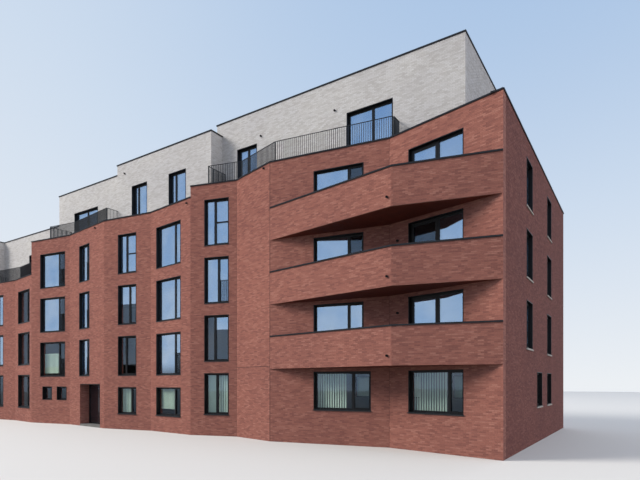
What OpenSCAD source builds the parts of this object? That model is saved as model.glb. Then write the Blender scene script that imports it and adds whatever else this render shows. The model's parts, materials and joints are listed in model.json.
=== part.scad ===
// Apartment block with a zigzag brick front, three stepped sections and a set-back white top storey.
// Every wall is measured from the front right corner of the brickwork, seen from the street.

/* [Storeys] */
// Height from one floor to the next
storey_h = 2950; // [2800:10:3300]
// Thickness of every floor slab
slab_t = 300; // [200:10:350]
// Ground floor of the right section above the base
floor_a = 780; // [600:10:1100]
// Ground floor of the middle section, level with the entrance
floor_b = 120; // [100:10:300]
// Ground floor of the left section
floor_c = 930; // [700:10:1200]
// Top of the parapet above the top brick floor, right section
parapet_a = 280; // [200:10:500]
// Top of the parapet above the top brick floor, middle section
parapet_b = 380; // [200:10:500]
// Top of the parapet above the top brick floor, left section
parapet_c = 330; // [200:10:500]
// Height of the white storey to its coping, right section
upper_h_a = 4170; // [3600:10:4600]
// Height of the white storey to its coping, middle section
upper_h_b = 4130; // [3600:10:4600]
// Height of the white storey to its coping, left section
upper_h_c = 4170; // [3600:10:4600]

/* [Plan] */
// Depth of the block from the ridges of the front to the back
depth = 15180; // [14000:20:17000]
// Thickness of the brick outer walls
wall_t = 400; // [350:10:450]
// Thickness of the walls between the sections and at the left end
party_t = 400; // [300:10:450]
// Thickness of the white storey's walls
upper_t = 350; // [250:10:400]
// Widths of the four bays of the right section, along the street
a1_w = 4790; // [4300:10:5600]
a2_w = 5570; // [5200:10:6400]
a3_w = 2670; // [2200:10:3400]
a4_w = 2550; // [2450:10:3400]
// Widths of the four bays of the middle section
b1_w = 3620; // [3300:10:4400]
b2_w = 3530; // [2900:10:4200]
b3_w = 4500; // [4300:10:5200]
b4_w = 3660; // [3500:10:4400]
// Widths of the two bays of the left section
c1_w = 3060; // [2900:10:3800]
c2_w = 5450; // [4600:10:6200]

/* [Folds of the front] */
// How far each valley line lies behind the front corner
valley_a1 = 1070; // [800:10:1200]
valley_a2 = 850; // [600:10:1000]
valley_b1 = 550; // [400:10:800]
valley_b2 = 540; // [400:10:800]
valley_c1 = 430; // [300:10:700]
// How far the ridge lines of the right section lie behind the front corner
ridge_a = 150; // [50:10:300]
// The same for the middle section
ridge_b = 0; // [0:10:200]

/* [Set-back storey] */
// Set-back of the white storey from the right gable
upper_side = 1910; // [1500:10:2400]
// Set-back of the right section's white front
upper_front_y = 2000; // [1900:10:2300]
// Set-back of the middle section's projecting white front
block_front_y = 1150; // [1100:10:1500]
// Set-back of the other white fronts
recess_front_y = 2050; // [1950:10:2600]
// Set-back of the white storey from the back
upper_rear = 2000; // [1500:10:2600]
// Distance of the projecting white front's left corner past the middle ridge
block_over = 370; // [200:10:500]
// Distance of the first party wall's right face before the first section's last ridge
party_ab_over = 470; // [440:10:600]
// Distance of the second party wall's right face before the middle section's last ridge
party_bc_over = 190; // [100:10:300]
// Height of the white walls above the roof slab
roof_up = 250; // [150:10:400]

/* [Copings] */
// Thickness of the metal copings
coping_t = 60; // [40:5:90]
// How far the copings oversail the walls
coping_out = 35; // [20:5:60]

/* [Windows] */
// Depth of the reveal in front of a window frame
reveal_d = 140; // [120:10:240]
// Depth of a window frame
frame_d = 70; // [60:5:90]
// Thickness of the dark lining of a reveal
lining_t = 30; // [20:5:40]
// Visible width of a frame member inside the lining
frame_sight = 50; // [40:5:70]
// How far the linings stand proud of the wall
lining_out = 12; // [5:1:30]
// Width of a middle post
mullion_w = 80; // [70:5:160]
// Thickness of the sealed glass units
glass_t = 24; // [20:2:40]
// Head of the windows above the floor, right section
head_a = 2400; // [2300:10:2450]
// Head of the windows above the floor, middle and left sections
head_b = 2324; // [2250:10:2400]
// Heads of the white storey's doors and windows above the floor, by section
head_upper_a = 2450; // [2300:10:2600]
head_upper_b = 2540; // [2300:10:2650]
head_upper_c = 2590; // [2300:10:2700]
// Sill of the full-height windows above the floor
sill_low = 50; // [30:5:150]
// Sills of the ground windows above the base
sill_ground_a12 = 1500; // [1300:10:1800]
sill_ground_a4 = 1080; // [1000:10:1500]
sill_ground_b = 900; // [700:10:1200]
// Sill and head of the small ground windows beside the entrance bay
sill_small = 1560; // [1400:10:1700]
head_small = 2450; // [2300:10:2500]
// Widths of the windows, by bay
a1_win = 2440; // [2000:10:2800]
a2_win = 2320; // [2000:10:2700]
a2_ground_win = 2640; // [2200:10:2800]
a4_win = 1390; // [1200:10:1500]
b1_win = 2260; // [2000:10:2400]
b2_win = 1390; // [1200:10:1700]
b3_win = 1360; // [1200:10:1700]
b4_win = 2390; // [2000:10:2500]
small_win = 920; // [700:10:1000]
c1_win = 2170; // [1900:10:2300]
c2_win = 2320; // [2000:10:2700]
// Width of the gable windows
gable_win = 1330; // [1000:10:1600]
// Sill of the gable windows above the floor, upper and ground storeys
gable_sill = 390; // [300:10:600]
gable_ground_sill = 820; // [600:10:1000]
// Width of the back windows
back_win = 1390; // [1200:10:1600]
// Sill of the back windows above the floor
back_sill = 850; // [700:10:1000]

/* [Window places] */
// Middle of each bay's windows to the right of the bay's middle
a1_shift = -280; // [-340:5:340]
a2_shift = 540; // [-600:5:600]
a2_ground_shift = 700; // [-800:5:800]
a4_shift = 180; // [-220:5:220]
b1_shift = -156; // [-200:2:200]
b2_shift = 10; // [-300:5:300]
b3_shift = -236; // [-300:2:300]
b4_shift = 222; // [-260:2:260]
c1_shift = 116; // [-140:2:140]
c2_shift = 78; // [-300:2:300]
// The same for the two small ground windows
small_left_shift = -290; // [-400:5:0]
small_right_shift = 1100; // [800:5:1200]
// Posts from the left of their openings, from the lowest window of the bay up
a1_posts = [1760, 1290, 1290, 1290];
a2_posts = [1800, 1600, 1600, 1600];
a4_posts = [655, 540, 745, 550];
b1_posts = [1575, 1575, 1575, 1575];
b2_posts = [910, 490, 765, 540];
b3_posts = [800, 800, 800];
b4_posts = [1670, 1670, 1670];
c1_posts = [1400, 1400, 1400];
c2_posts = [1500, 1500, 1500];
// Middles of the gable windows from the street corner, upper and ground storeys
gable_mids = [4700, 9880];
gable_ground_mids = [7100, 9880];
// Middle and width of each door and window of the white storey, from the left end of its wall
upper_a_small = [1745, 1350];
upper_a_door = [8900, 2300];
upper_b_left = [2100, 1400];
upper_b_right = [5370, 1400];
upper_b_door = [2865, 2730];
upper_c_door = [5150, 2700];
// Their posts from the left of their openings
upper_a_small_post = 665; // [400:5:900]
upper_a_door_post = 1270; // [900:10:1400]
upper_b_small_post = 440; // [400:5:900]
upper_b_door_post = 1365; // [1200:5:1500]
upper_c_door_post = 1350; // [1200:5:1500]

/* [Sills] */
// Height of the pale gable sills
sill_h = 60; // [40:5:80]
// How far the gable sills stand out
sill_out = 45; // [30:5:80]

/* [Balconies] */
// How far the balcony fronts reach out in front of the right corner
balcony_out = 920; // [700:10:1200]
// Distance of the balcony's point from the right corner, along the street
balcony_point = 3780; // [3300:10:4200]
// Thickness of the balcony floors
balcony_slab_t = 330; // [250:10:350]
// Underside of a balcony below the floor it serves
balcony_drop = 400; // [380:10:450]
// Top of the balcony coping above the floor it serves
balcony_rail_h = 1120; // [1000:10:1300]
// Thickness of the balcony's brick front
balcony_wall_t = 250; // [215:5:300]
// Soft joint between the ends of the balcony's brick front and the wall
balcony_joint = 8; // [5:1:15]

/* [Railings] */
// Heights of the terrace railings above the copings, by section
railing_h_a = 1060; // [900:10:1150]
railing_h_b = 930; // [850:10:1150]
railing_h_c = 1010; // [900:10:1150]
// Distance of the railing line behind the wall face
railing_in = 370; // [200:5:380]
// Thickness and depth of a flat railing bar
bar_t = 10; // [8:1:16]
bar_d = 40; // [25:1:45]
// Largest step from bar to bar
bar_step = 100; // [90:5:150]
// Width and thickness of the railing's rails
rail_w = 50; // [40:5:60]
rail_t = 12; // [10:1:20]
// Height of the bottom rail above the coping
rail_low = 80; // [60:5:120]
// How much earlier the railings end beside the cross wall of the middle and left sections
railing_b_short = 900; // [600:10:1200]
railing_c_short = 600; // [300:10:900]
// Distance of the middle railing's right corner past the ridge
railing_b_over = 330; // [0:10:330]

/* [Entrance] */
// Width of the entrance opening
entrance_w = 2590; // [2300:10:2700]
// Head of the entrance opening above its floor
entrance_h = 2500; // [2300:10:2600]
// Distance of the entrance screen behind the wall face
entrance_in = 570; // [480:10:700]
// Middle of the entrance to the right of its bay's middle
entrance_shift = 479; // [400:1:520]
// Thickness of the brick returns beside the entrance recess
return_w = 215; // [100:5:260]
// Width of the door leaf
leaf_w = 1120; // [900:10:1200]
// Thickness of the door leaf
leaf_t = 60; // [50:5:80]
// Width of the leaf's stiles and top rail
stile_w = 110; // [80:5:140]
// Height of the leaf's bottom rail
kick_h = 180; // [120:10:260]
// Gap round the leaf
leaf_gap = 6; // [5:1:10]
// Radius of the hinge pins
pin_r = 7; // [5:0.5:9]
// Radius of the hinge knuckles
knuckle_r = 14; // [12:1:18]
// Height of one knuckle
knuckle_h = 60; // [40:5:90]
// Radius of the pull handle
pull_r = 16; // [12:1:20]
// Length of the pull handle
pull_h = 900; // [400:20:1200]
// Distance of the pull handle in front of the leaf
pull_out = 60; // [40:5:90]

/* [Overflow spouts] */
// Outer radius of a spout
spout_r = 45; // [30:1:60]
// Wall of a spout
spout_wall = 8; // [4:1:12]
// How far a spout stands out of the wall
spout_out = 70; // [40:5:120]
// Parapet spouts: their bays, places from the bays' right ends, and drops below the top of the wall
parapet_spout_bays = [2, 4, 6];
parapet_spouts = [450, 310, 1060];
parapet_spout_drops = [120, 210, 190];
// Spouts over the balconies: from the left end of the first bay, and above the floor
wall_spout_x = 440; // [200:10:900]
wall_spout_up = 1800; // [1500:10:2200]
// Spouts of the white walls, right section: from the left end, and above the terrace
white_spouts_a = [2700, 7120];
white_spout_up_a = 2750; // [2500:10:3100]
// The same for the middle section
white_spout_b = 740; // [400:10:1000]
white_spout_up_b = 3450; // [3100:10:3600]
// Balcony spouts: from the right end of the brick front, and below the floor
balcony_spout_x = 180; // [120:10:400]
balcony_spout_drop = 30; // [0:5:60]

/* [Hidden] */

// Small play between pieces that are fitted into one another
fit = 0.3;
// Overlap of a cut past the face it opens
cut = 10;
brick = "firebrick";
white_brick = "gainsboro";
metal = "dimgray";
dark = "darkslategray";

// Plan of the folded front, from the right corner to the left
front = [
    [0, 0], [-a1_w, valley_a1], [-a1_w - a2_w, ridge_a],
    [-a1_w - a2_w - a3_w, valley_a2], [-a_w(), ridge_a],
    [-a_w() - b1_w, valley_b1], [-a_w() - b1_w - b2_w, ridge_b],
    [-a_w() - b1_w - b2_w - b3_w, valley_b2], [-a_w() - b_w(), ridge_b],
    [-a_w() - b_w() - c1_w, valley_c1], [-a_w() - b_w() - c1_w - c2_w, 0]
];
last = len(front) - 1;
total_l = -front[last].x;
function a_w() = a1_w + a2_w + a3_w + a4_w;
function b_w() = b1_w + b2_w + b3_w + b4_w;

// Levels of each section: ground floor, parapet height, storeys of brick, top of the white storey
FLOORS = [floor_a, floor_b, floor_c];
BRICK_STOREYS = [4, 4, 3];
PARAPETS = [parapet_a, parapet_b, parapet_c];
UPPERS = [upper_h_a, upper_h_b, upper_h_c];
HEADS = [head_a, head_b, head_b];
UPPER_HEADS = [head_upper_a, head_upper_b, head_upper_c];
RAILING_H = [railing_h_a, railing_h_b, railing_h_c];
function level(s, k) = FLOORS[s] + k * storey_h;
function terrace(s) = level(s, BRICK_STOREYS[s]);
function wall_top(s) = terrace(s) + PARAPETS[s] - coping_t;
function upper_top(s) = terrace(s) + UPPERS[s] - coping_t;

// Party walls and the white storey's corners along the street
ab_right = front[4].x + party_ab_over;
ab_left = ab_right - party_t;
bc_right = front[8].x + party_bc_over;
bc_left = bc_right - party_t;
end_right = -total_l + party_t;
block_left = front[6].x - block_over;
upper_back_y = depth - upper_rear;

// Point where two lines cross, each given by a point and a direction
function crossing(p, u, q, v) =
    p + u * ((q.x - p.x) * v.y - (q.y - p.y) * v.x) / (u.x * v.y - u.y * v.x);
function dir(p, q) = (q - p) / norm(q - p);
function inward(u) = [u.y, -u.x];
function on_line(p, q, d) = p + inward(dir(p, q)) * d;
function whole(p) = [round(p.x), round(p.y)];

// A folded line moved inward by d, mitred at its folds and cut square at both ends
function folded(line, d) = [
    for (i = [0:len(line) - 1])
        let (n = len(line) - 1, j = min(i, n - 1), h = max(i - 1, 0))
        let (p = on_line(line[j], line[j + 1], d), u = dir(line[j], line[j + 1]))
        let (q = on_line(line[h], line[h + 1], d), v = dir(line[h], line[h + 1]))
        whole(i == 0 ? crossing(p, u, line[0], [0, 1])
            : i == n ? crossing(p, u, line[n], [0, 1]) : crossing(p, u, q, v))
];
outer = folded(front, -coping_out);
inner = folded(front, wall_t);
inner_edge = folded(front, wall_t + coping_out);
railing_line = folded(front, railing_in);

// Height of a folded line at x, and its points from x1 down to x2
function line_y(line, x) =
    let (i = [for (k = [0:len(line) - 2]) if (x <= line[k].x + 1 && x >= line[k + 1].x - 1) k][0])
    line[i].y + (line[i + 1].y - line[i].y) * (x - line[i].x) / (line[i + 1].x - line[i].x);
function line_part(line, x1, x2) = concat(
    [[x1, line_y(line, x1)]], [for (p = line) if (p.x < x1 - 1 && p.x > x2 + 1) p], [[x2, line_y(line, x2)]]
);
// The inside face of the front with the play left in front of a floor or cross wall
function room_front(x1, x2) = [for (p = line_part(inner, x1, x2)) [p.x, p.y + fit]];

module centred() {
    translate([total_l / 2, -depth / 2, 0]) children();
}

// Frame on a wall seen from outside: x to the right from its left end, y into the building
module on_wall(left, right) {
    translate([left.x, left.y, 0]) rotate(atan2(right.y - left.y, right.x - left.x)) children();
}
function bay(i) = [front[i + 1], front[i]];
function bay_l(i) = norm(front[i + 1] - front[i]);

// Window: [wall, middle from the wall's left end, width, sill, head, post from the left or 0]
function windows(wall, mid, w, rows, posts = []) = [for (k = [0:len(rows) - 1])
    [wall, mid, w, rows[k][0], rows[k][1], k < len(posts) ? posts[k] : 0]];
function rows(s, k0, k1, sill, head) = [for (k = [k0:k1]) [level(s, k) + sill, level(s, k) + head]];
function bay_windows(i, shift, w, r, posts = []) =
    windows(bay(i), bay_l(i) / 2 + shift, w, r, posts);
// A ground window with its sill above the base, and the storeys over it
function ground_row(s, sill, head) = [[sill, level(s, 0) + head]];
function above(posts) = [for (k = [1:len(posts) - 1]) posts[k]];

A1 = concat(
    bay_windows(0, a1_shift, a1_win, ground_row(0, sill_ground_a12, head_a), a1_posts),
    bay_windows(0, a1_shift, a1_win, rows(0, 1, 3, sill_low, head_a), above(a1_posts))
);
A2 = concat(
    bay_windows(1, a2_ground_shift, a2_ground_win, ground_row(0, sill_ground_a12, head_a), a2_posts),
    bay_windows(1, a2_shift, a2_win, rows(0, 1, 3, sill_low, head_a), above(a2_posts))
);
A4 = concat(
    bay_windows(3, a4_shift, a4_win, ground_row(0, sill_ground_a4, head_a), a4_posts),
    bay_windows(3, a4_shift, a4_win, rows(0, 1, 3, sill_low, head_a), above(a4_posts))
);
B1 = concat(
    bay_windows(4, b1_shift, b1_win, ground_row(1, sill_ground_b, head_b), b1_posts),
    bay_windows(4, b1_shift, b1_win, rows(1, 1, 3, sill_low, head_b), above(b1_posts))
);
B2 = concat(
    bay_windows(5, b2_shift, b2_win, ground_row(1, sill_ground_b, head_b), b2_posts),
    bay_windows(5, b2_shift, b2_win, rows(1, 1, 3, sill_low, head_b), above(b2_posts))
);
B3 = bay_windows(6, b3_shift, b3_win, rows(1, 1, 3, sill_low, head_b), b3_posts);
B4 = concat(
    bay_windows(7, small_left_shift, small_win, [[sill_small, head_small]]),
    bay_windows(7, small_right_shift, small_win, [[sill_small, head_small]]),
    bay_windows(7, b4_shift, b4_win, rows(1, 1, 3, sill_low, head_b), b4_posts)
);
C1 = bay_windows(8, c1_shift, c1_win, rows(2, 0, 2, sill_low, head_b), c1_posts);
C2 = bay_windows(9, c2_shift, c2_win, rows(2, 0, 2, sill_low, head_b), c2_posts);

GABLE = [[0, 0], [0, depth]];
G = concat(
    [for (m = gable_ground_mids)
        each windows(GABLE, m, gable_win, [[level(0, 0) + gable_ground_sill, level(0, 0) + head_a]])],
    [for (m = gable_mids) each windows(GABLE, m, gable_win, rows(0, 1, 3, gable_sill, head_a))]
);

// The back repeats the storeys, with its windows evenly spaced between the cross walls
BACK = [[0, depth], [-total_l, depth]];
BACK_X = [[wall_t, -ab_right], [-ab_left, -bc_right], [-bc_left, -end_right]];
BACK_COLUMNS = [4, 4, 2];
function spread(s, n) = [for (i = [0:n - 1]) BACK_X[s][0] + (BACK_X[s][1] - BACK_X[s][0]) * (i + 0.5) / n];
BACK_WINDOWS = [for (s = [0:2]) [for (m = spread(s, BACK_COLUMNS[s]))
    each windows(BACK, m, back_win, rows(s, 0, BRICK_STOREYS[s] - 1, back_sill, HEADS[s]))]];

// The white storey's walls, seen from outside, with their doors and windows
UPPER_A = [[ab_right, upper_front_y], [-upper_side, upper_front_y]];
UPPER_B1 = [[block_left, block_front_y], [ab_left, block_front_y]];
UPPER_B2 = [[bc_right, recess_front_y], [block_left, recess_front_y]];
UPPER_C = [[end_right, recess_front_y], [bc_left, recess_front_y]];
function upper_rows(s) = [[terrace(s) + sill_low, terrace(s) + UPPER_HEADS[s]]];
function upper_window(wall, s, place, posts = []) = windows(wall, place[0], place[1], upper_rows(s), posts);
UA = concat(
    upper_window(UPPER_A, 0, upper_a_small, [upper_a_small_post]),
    upper_window(UPPER_A, 0, upper_a_door, [upper_a_door_post])
);
UB1 = concat(
    upper_window(UPPER_B1, 1, upper_b_left, [upper_b_small_post]),
    upper_window(UPPER_B1, 1, upper_b_right, [upper_b_small_post])
);
UB2 = upper_window(UPPER_B2, 1, upper_b_door, [upper_b_door_post]);
UC = upper_window(UPPER_C, 2, upper_c_door, [upper_c_door_post]);
UPPER_BACK_X = [[-upper_side, ab_right], [ab_left, bc_right], [bc_left, end_right]];
UPPER_BACK_COLUMNS = [2, 3, 1];
function upper_back(s) = [[UPPER_BACK_X[s][0], upper_back_y], [UPPER_BACK_X[s][1], upper_back_y]];
UPPER_BACK = [for (s = [0:2]) let (w = upper_back(s), n = UPPER_BACK_COLUMNS[s])
    [for (i = [0:n - 1]) each windows(w, (w[0].x - w[1].x) * (i + 0.5) / n, back_win, upper_rows(s))]];

FRONT_WINDOWS = concat(A1, A2, A4, B1, B2, B3, B4, C1, C2, UA, UB1, UB2, UC);
REAR_WINDOWS = concat(G, BACK_WINDOWS[0], BACK_WINDOWS[1], BACK_WINDOWS[2],
    UPPER_BACK[0], UPPER_BACK[1], UPPER_BACK[2]);

module at_window(w) {
    on_wall(w[0][0], w[0][1]) translate([w[1] - w[2] / 2, 0, w[3]]) children();
}

module window_holes(list, t) {
    for (w = list) {
        at_window(w) translate([0, -cut, 0]) cube([w[2], t + 2 * cut, w[4] - w[3]]);
    }
}

// Lights of a window: [from, to] along its width
function lights(w) =
    let (edge = lining_t + frame_sight, m = w[5])
    m == 0 ? [[edge, w[2] - edge]] : [[edge, m - mullion_w / 2], [m + mullion_w / 2, w[2] - edge]];

// Lined reveal and frame in one, open at its lights
module window_frame(w) {
    h = w[4] - w[3];
    edge = lining_t + frame_sight;
    difference() {
        translate([fit, -lining_out, fit])
            cube([w[2] - 2 * fit, lining_out + reveal_d + frame_d, h - 2 * fit]);
        translate([lining_t, -lining_out - cut, lining_t])
            cube([w[2] - 2 * lining_t, lining_out + cut + reveal_d, h - 2 * lining_t]);
        for (l = lights(w)) {
            translate([l[0], 0, edge]) cube([l[1] - l[0], reveal_d + frame_d + cut, h - 2 * edge]);
        }
    }
}

module window_panes(w) {
    edge = lining_t + frame_sight + fit;
    h = w[4] - w[3];
    for (l = lights(w)) {
        translate([l[0] + fit, reveal_d + (frame_d - glass_t) / 2, edge])
            cube([l[1] - l[0] - 2 * fit, glass_t, h - 2 * edge]);
    }
}

// Wall between two folds, its ends mitred, with its windows cut through
module front_panel(i, z0, z1, list) {
    difference() {
        translate([0, 0, z0]) linear_extrude(z1 - z0)
            polygon([front[i], front[i + 1], inner[i + 1], inner[i]]);
        window_holes(list, wall_t);
    }
}

// Floor slabs between the cross walls
SECTION_X = [
    [-wall_t - fit, ab_right + fit], [ab_left - fit, bc_right + fit], [bc_left - fit, end_right + fit]
];
module section_slab(s, z0, z1) {
    x1 = SECTION_X[s][0];
    x2 = SECTION_X[s][1];
    back_y = depth - wall_t - fit;
    translate([0, 0, z0]) linear_extrude(z1 - z0)
        polygon(concat(room_front(x1, x2), [[x2, back_y], [x1, back_y]]));
}
module storey_slabs(k) {
    for (s = [0:2]) {
        if (k < BRICK_STOREYS[s]) section_slab(s, level(s, k) - slab_t, level(s, k));
    }
}

// Ends of the entrance opening along its bay
entrance_mid = bay_l(6) / 2 + entrance_shift;
entrance_x0 = entrance_mid - entrance_w / 2;
entrance_x1 = entrance_mid + entrance_w / 2;
entrance_top = floor_b + entrance_h;
// How much deeper and wider the entrance's members are than a window's
screen_more = 10;
screen_y0 = entrance_in;
screen_y1 = entrance_in + frame_d + screen_more;

module ground_slab() {
    color("darkgray") centred() {
        for (s = [0:2]) {
            section_slab(s, 0, level(s, 0));
        }
        // Threshold in the thickness of the wall
        on_wall(bay(6)[0], bay(6)[1])
            translate([entrance_x0 + fit, 0, 0]) cube([entrance_w - 2 * fit, wall_t - fit, floor_b]);
    }
}
module first_floor() {
    color("darkgray") centred() storey_slabs(1);
}
module second_floor() {
    color("darkgray") centred() storey_slabs(2);
}
module third_floor() {
    color("darkgray") centred() storey_slabs(3);
}
module terrace_floor() {
    color("gray") centred() {
        for (s = [0:2]) {
            section_slab(s, terrace(s) - slab_t, terrace(s));
        }
    }
}

module front_wall_a1() {
    color(brick) centred() front_panel(0, 0, wall_top(0), A1);
}
module front_wall_a2() {
    color(brick) centred() front_panel(1, 0, wall_top(0), A2);
}
module front_wall_a3() {
    color(brick) centred() front_panel(2, 0, wall_top(0), []);
}
module front_wall_a4() {
    color(brick) centred() front_panel(3, 0, wall_top(0), A4);
}
module front_wall_b1() {
    color(brick) centred() front_panel(4, 0, wall_top(1), B1);
}
module front_wall_b2() {
    color(brick) centred() front_panel(5, 0, wall_top(1), B2);
}
module front_wall_b3_piers() {
    color(brick) centred() difference() {
        union() {
            front_panel(6, 0, entrance_top, []);
            // Returns beside the recess, from the wall back to the entrance screen, below its soffit
            on_wall(bay(6)[0], bay(6)[1]) translate([entrance_x0 - return_w, wall_t - cut, floor_b])
                cube([entrance_w + 2 * return_w, screen_y1 - wall_t + cut, entrance_h - lining_t]);
        }
        on_wall(bay(6)[0], bay(6)[1]) translate([entrance_x0, -cut, -cut])
            cube([entrance_w, screen_y1 + 2 * cut, entrance_top + 2 * cut]);
    }
}
module front_wall_b3_over() {
    color(brick) centred() front_panel(6, entrance_top, wall_top(1), B3);
}
module front_wall_b4() {
    color(brick) centred() front_panel(7, 0, wall_top(1), B4);
}
module front_wall_c1() {
    color(brick) centred() front_panel(8, 0, wall_top(2), C1);
}
module front_wall_c2() {
    color(brick) centred() front_panel(9, 0, wall_top(2), C2);
}

module right_gable_wall() {
    color(brick) centred() difference() {
        linear_extrude(wall_top(0))
            polygon(concat(room_front(0, -wall_t), [[-wall_t, depth], [0, depth]]));
        window_holes(G, wall_t);
    }
}

// Wall across the block with a plain top, raised in front and behind as a parapet
module cross_wall(x1, x2, top, front_y, parapet_top) {
    back_y = depth;
    linear_extrude(top) polygon(concat(room_front(x1, x2), [[x2, back_y], [x1, back_y]]));
    linear_extrude(parapet_top) polygon(concat(room_front(x1, x2), [[x2, front_y], [x1, front_y]]));
    translate([x2, upper_back_y, 0]) cube([x1 - x2, back_y - upper_back_y, parapet_top]);
}
module left_end_wall() {
    color(brick) centred()
        cross_wall(end_right, -total_l, terrace(2), block_front_y, wall_top(2));
}
module party_walls() {
    color(brick) centred() {
        cross_wall(ab_right, ab_left, terrace(0), block_front_y, wall_top(0));
        cross_wall(bc_right, bc_left, terrace(1), recess_front_y, wall_top(1));
    }
}
module back_walls() {
    color(brick) centred() difference() {
        for (s = [0:2]) {
            x1 = -BACK_X[s][0] - fit;
            x2 = -BACK_X[s][1] + fit;
            translate([x2, depth - wall_t, 0]) cube([x1 - x2, wall_t, wall_top(s)]);
        }
        for (s = [0:2]) {
            window_holes(BACK_WINDOWS[s], wall_t);
        }
    }
}

// Straight wall of the white storey, from the terrace floor to under its coping
module upper_panel(w, s, list) {
    difference() {
        on_wall(w[0], w[1]) translate([0, 0, terrace(s)])
            cube([norm(w[1] - w[0]), upper_t, upper_top(s) - terrace(s)]);
        window_holes(list, upper_t);
    }
}
module upper_front_a() {
    color(white_brick) centred() upper_panel(UPPER_A, 0, UA);
}
module upper_front_b() {
    color(white_brick) centred() {
        upper_panel(UPPER_B1, 1, UB1);
        upper_panel(UPPER_B2, 1, UB2);
    }
}
module upper_front_c() {
    color(white_brick) centred() upper_panel(UPPER_C, 2, UC);
}
module upper_cross(x1, x2, y1, y2, z1, z2) {
    translate([x2, y1, z1]) cube([x1 - x2, y2 - y1, z2 - z1]);
}
module upper_cross_walls() {
    color(white_brick) centred() {
        upper_cross(-upper_side, -upper_side - upper_t, upper_front_y + upper_t, upper_back_y - upper_t,
            terrace(0), upper_top(0));
        upper_cross(ab_right, ab_left, block_front_y, upper_back_y, terrace(0), upper_top(1));
        upper_cross(ab_right, ab_left, upper_front_y, upper_back_y, terrace(0), upper_top(0));
        upper_cross(block_left + upper_t, block_left, block_front_y + upper_t, recess_front_y,
            terrace(1), upper_top(1));
        upper_cross(bc_right, bc_left, recess_front_y, upper_back_y, terrace(1), upper_top(1));
        upper_cross(end_right, -total_l, block_front_y, upper_back_y, terrace(2), upper_top(2));
    }
}
module upper_back_walls() {
    color(white_brick) centred() {
        for (s = [0:2]) {
            upper_panel(upper_back(s), s, UPPER_BACK[s]);
        }
    }
}
module upper_roof() {
    back_y = upper_back_y - upper_t - fit;
    color("gray") centred() {
        upper_cross(-upper_side - upper_t - fit, ab_right + fit, upper_front_y + upper_t + fit, back_y,
            upper_top(0) - roof_up - slab_t, upper_top(0) - roof_up);
        upper_cross(ab_left - fit, bc_right + fit, recess_front_y + upper_t + fit, back_y,
            upper_top(1) - roof_up - slab_t, upper_top(1) - roof_up);
        upper_cross(ab_left - fit, block_left + upper_t + fit, block_front_y + upper_t + fit,
            recess_front_y + upper_t + 2 * fit, upper_top(1) - roof_up - slab_t, upper_top(1) - roof_up);
        upper_cross(bc_left - fit, end_right + fit, recess_front_y + upper_t + fit, back_y,
            upper_top(2) - roof_up - slab_t, upper_top(2) - roof_up);
    }
}

// Coping laid over a straight wall, oversailing both faces
module straight_coping(x1, x2, y1, y2, z) {
    translate([x2 - coping_out, y1 - coping_out, z])
        cube([x1 - x2 + 2 * coping_out, y2 - y1 + 2 * coping_out, coping_t]);
}
// Inner edge of a front coping from its last fold back to its first, flush where a higher wall stands
function coping_edge(i, j, x) = concat(
    [for (k = [j:-1:i + 1]) inner_edge[k]],
    x == 0 ? [inner_edge[i]] : [[x, line_y(inner_edge, x)], [x, line_y(inner, x)], inner[i]]
);
module front_coping(i, j, z, x = 0) {
    translate([0, 0, z]) linear_extrude(coping_t)
        polygon(concat([for (k = [i:j]) outer[k]], coping_edge(i, j, x)));
}
module parapet_copings() {
    color(metal) centred() {
        // Right section, with its gable, its back and its return at the party wall
        front_coping(0, 4, wall_top(0));
        straight_coping(0, -wall_t, coping_out, depth, wall_top(0));
        straight_coping(0, ab_left + coping_out, depth - wall_t, depth, wall_top(0));
        straight_coping(ab_right - coping_out, ab_left + coping_out, line_y(inner, ab_left),
            block_front_y - coping_out, wall_top(0));
        // Middle section
        difference() {
            front_coping(4, 8, wall_top(1));
            // Clear of the right section's higher wall
            translate([0, 0, wall_top(1) - cut]) linear_extrude(coping_t + 2 * cut)
                polygon([
                    outer[4], outer[4] - [fit, 0], inner_edge[4] - [fit, 0], inner_edge[4],
                    [0, depth], [0, -depth]
                ]);
        }
        straight_coping(ab_left - coping_out, bc_left + coping_out, depth - wall_t, depth, wall_top(1));
        straight_coping(bc_right, bc_left + coping_out, ridge_b + wall_t,
            recess_front_y - coping_out, wall_top(1));
        // Left section
        front_coping(8, last, wall_top(2), bc_left - fit);
        straight_coping(bc_left - coping_out, -total_l, depth - wall_t, depth, wall_top(2));
        straight_coping(end_right, -total_l, wall_t, block_front_y - coping_out, wall_top(2));
    }
}
module roof_copings() {
    back = upper_back_y;
    color(metal) centred() {
        straight_coping(-upper_side, ab_left, upper_front_y, upper_front_y + upper_t, upper_top(0));
        straight_coping(-upper_side, -upper_side - upper_t, upper_front_y, back, upper_top(0));
        straight_coping(-upper_side, ab_left, back - upper_t, back, upper_top(0));
        straight_coping(ab_right, ab_left, upper_front_y, back, upper_top(0));
        // Middle section, clear of the right section's higher wall
        straight_coping(ab_right, block_left, block_front_y, block_front_y + upper_t, upper_top(1));
        straight_coping(ab_right, ab_left, block_front_y, upper_front_y - coping_out, upper_top(1));
        straight_coping(block_left + upper_t, block_left, block_front_y,
            recess_front_y + upper_t, upper_top(1));
        straight_coping(block_left + upper_t, bc_left, recess_front_y,
            recess_front_y + upper_t, upper_top(1));
        straight_coping(bc_right, bc_left, recess_front_y, back, upper_top(1));
        straight_coping(ab_left - coping_out, bc_left, back - upper_t, back, upper_top(1));
        // Left section, clear of the middle section's higher wall
        straight_coping(bc_left - coping_out, -total_l, recess_front_y,
            recess_front_y + upper_t, upper_top(2));
        straight_coping(bc_left - coping_out, -total_l, back - upper_t, back, upper_top(2));
        straight_coping(end_right, -total_l, block_front_y, back, upper_top(2));
    }
}

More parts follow.
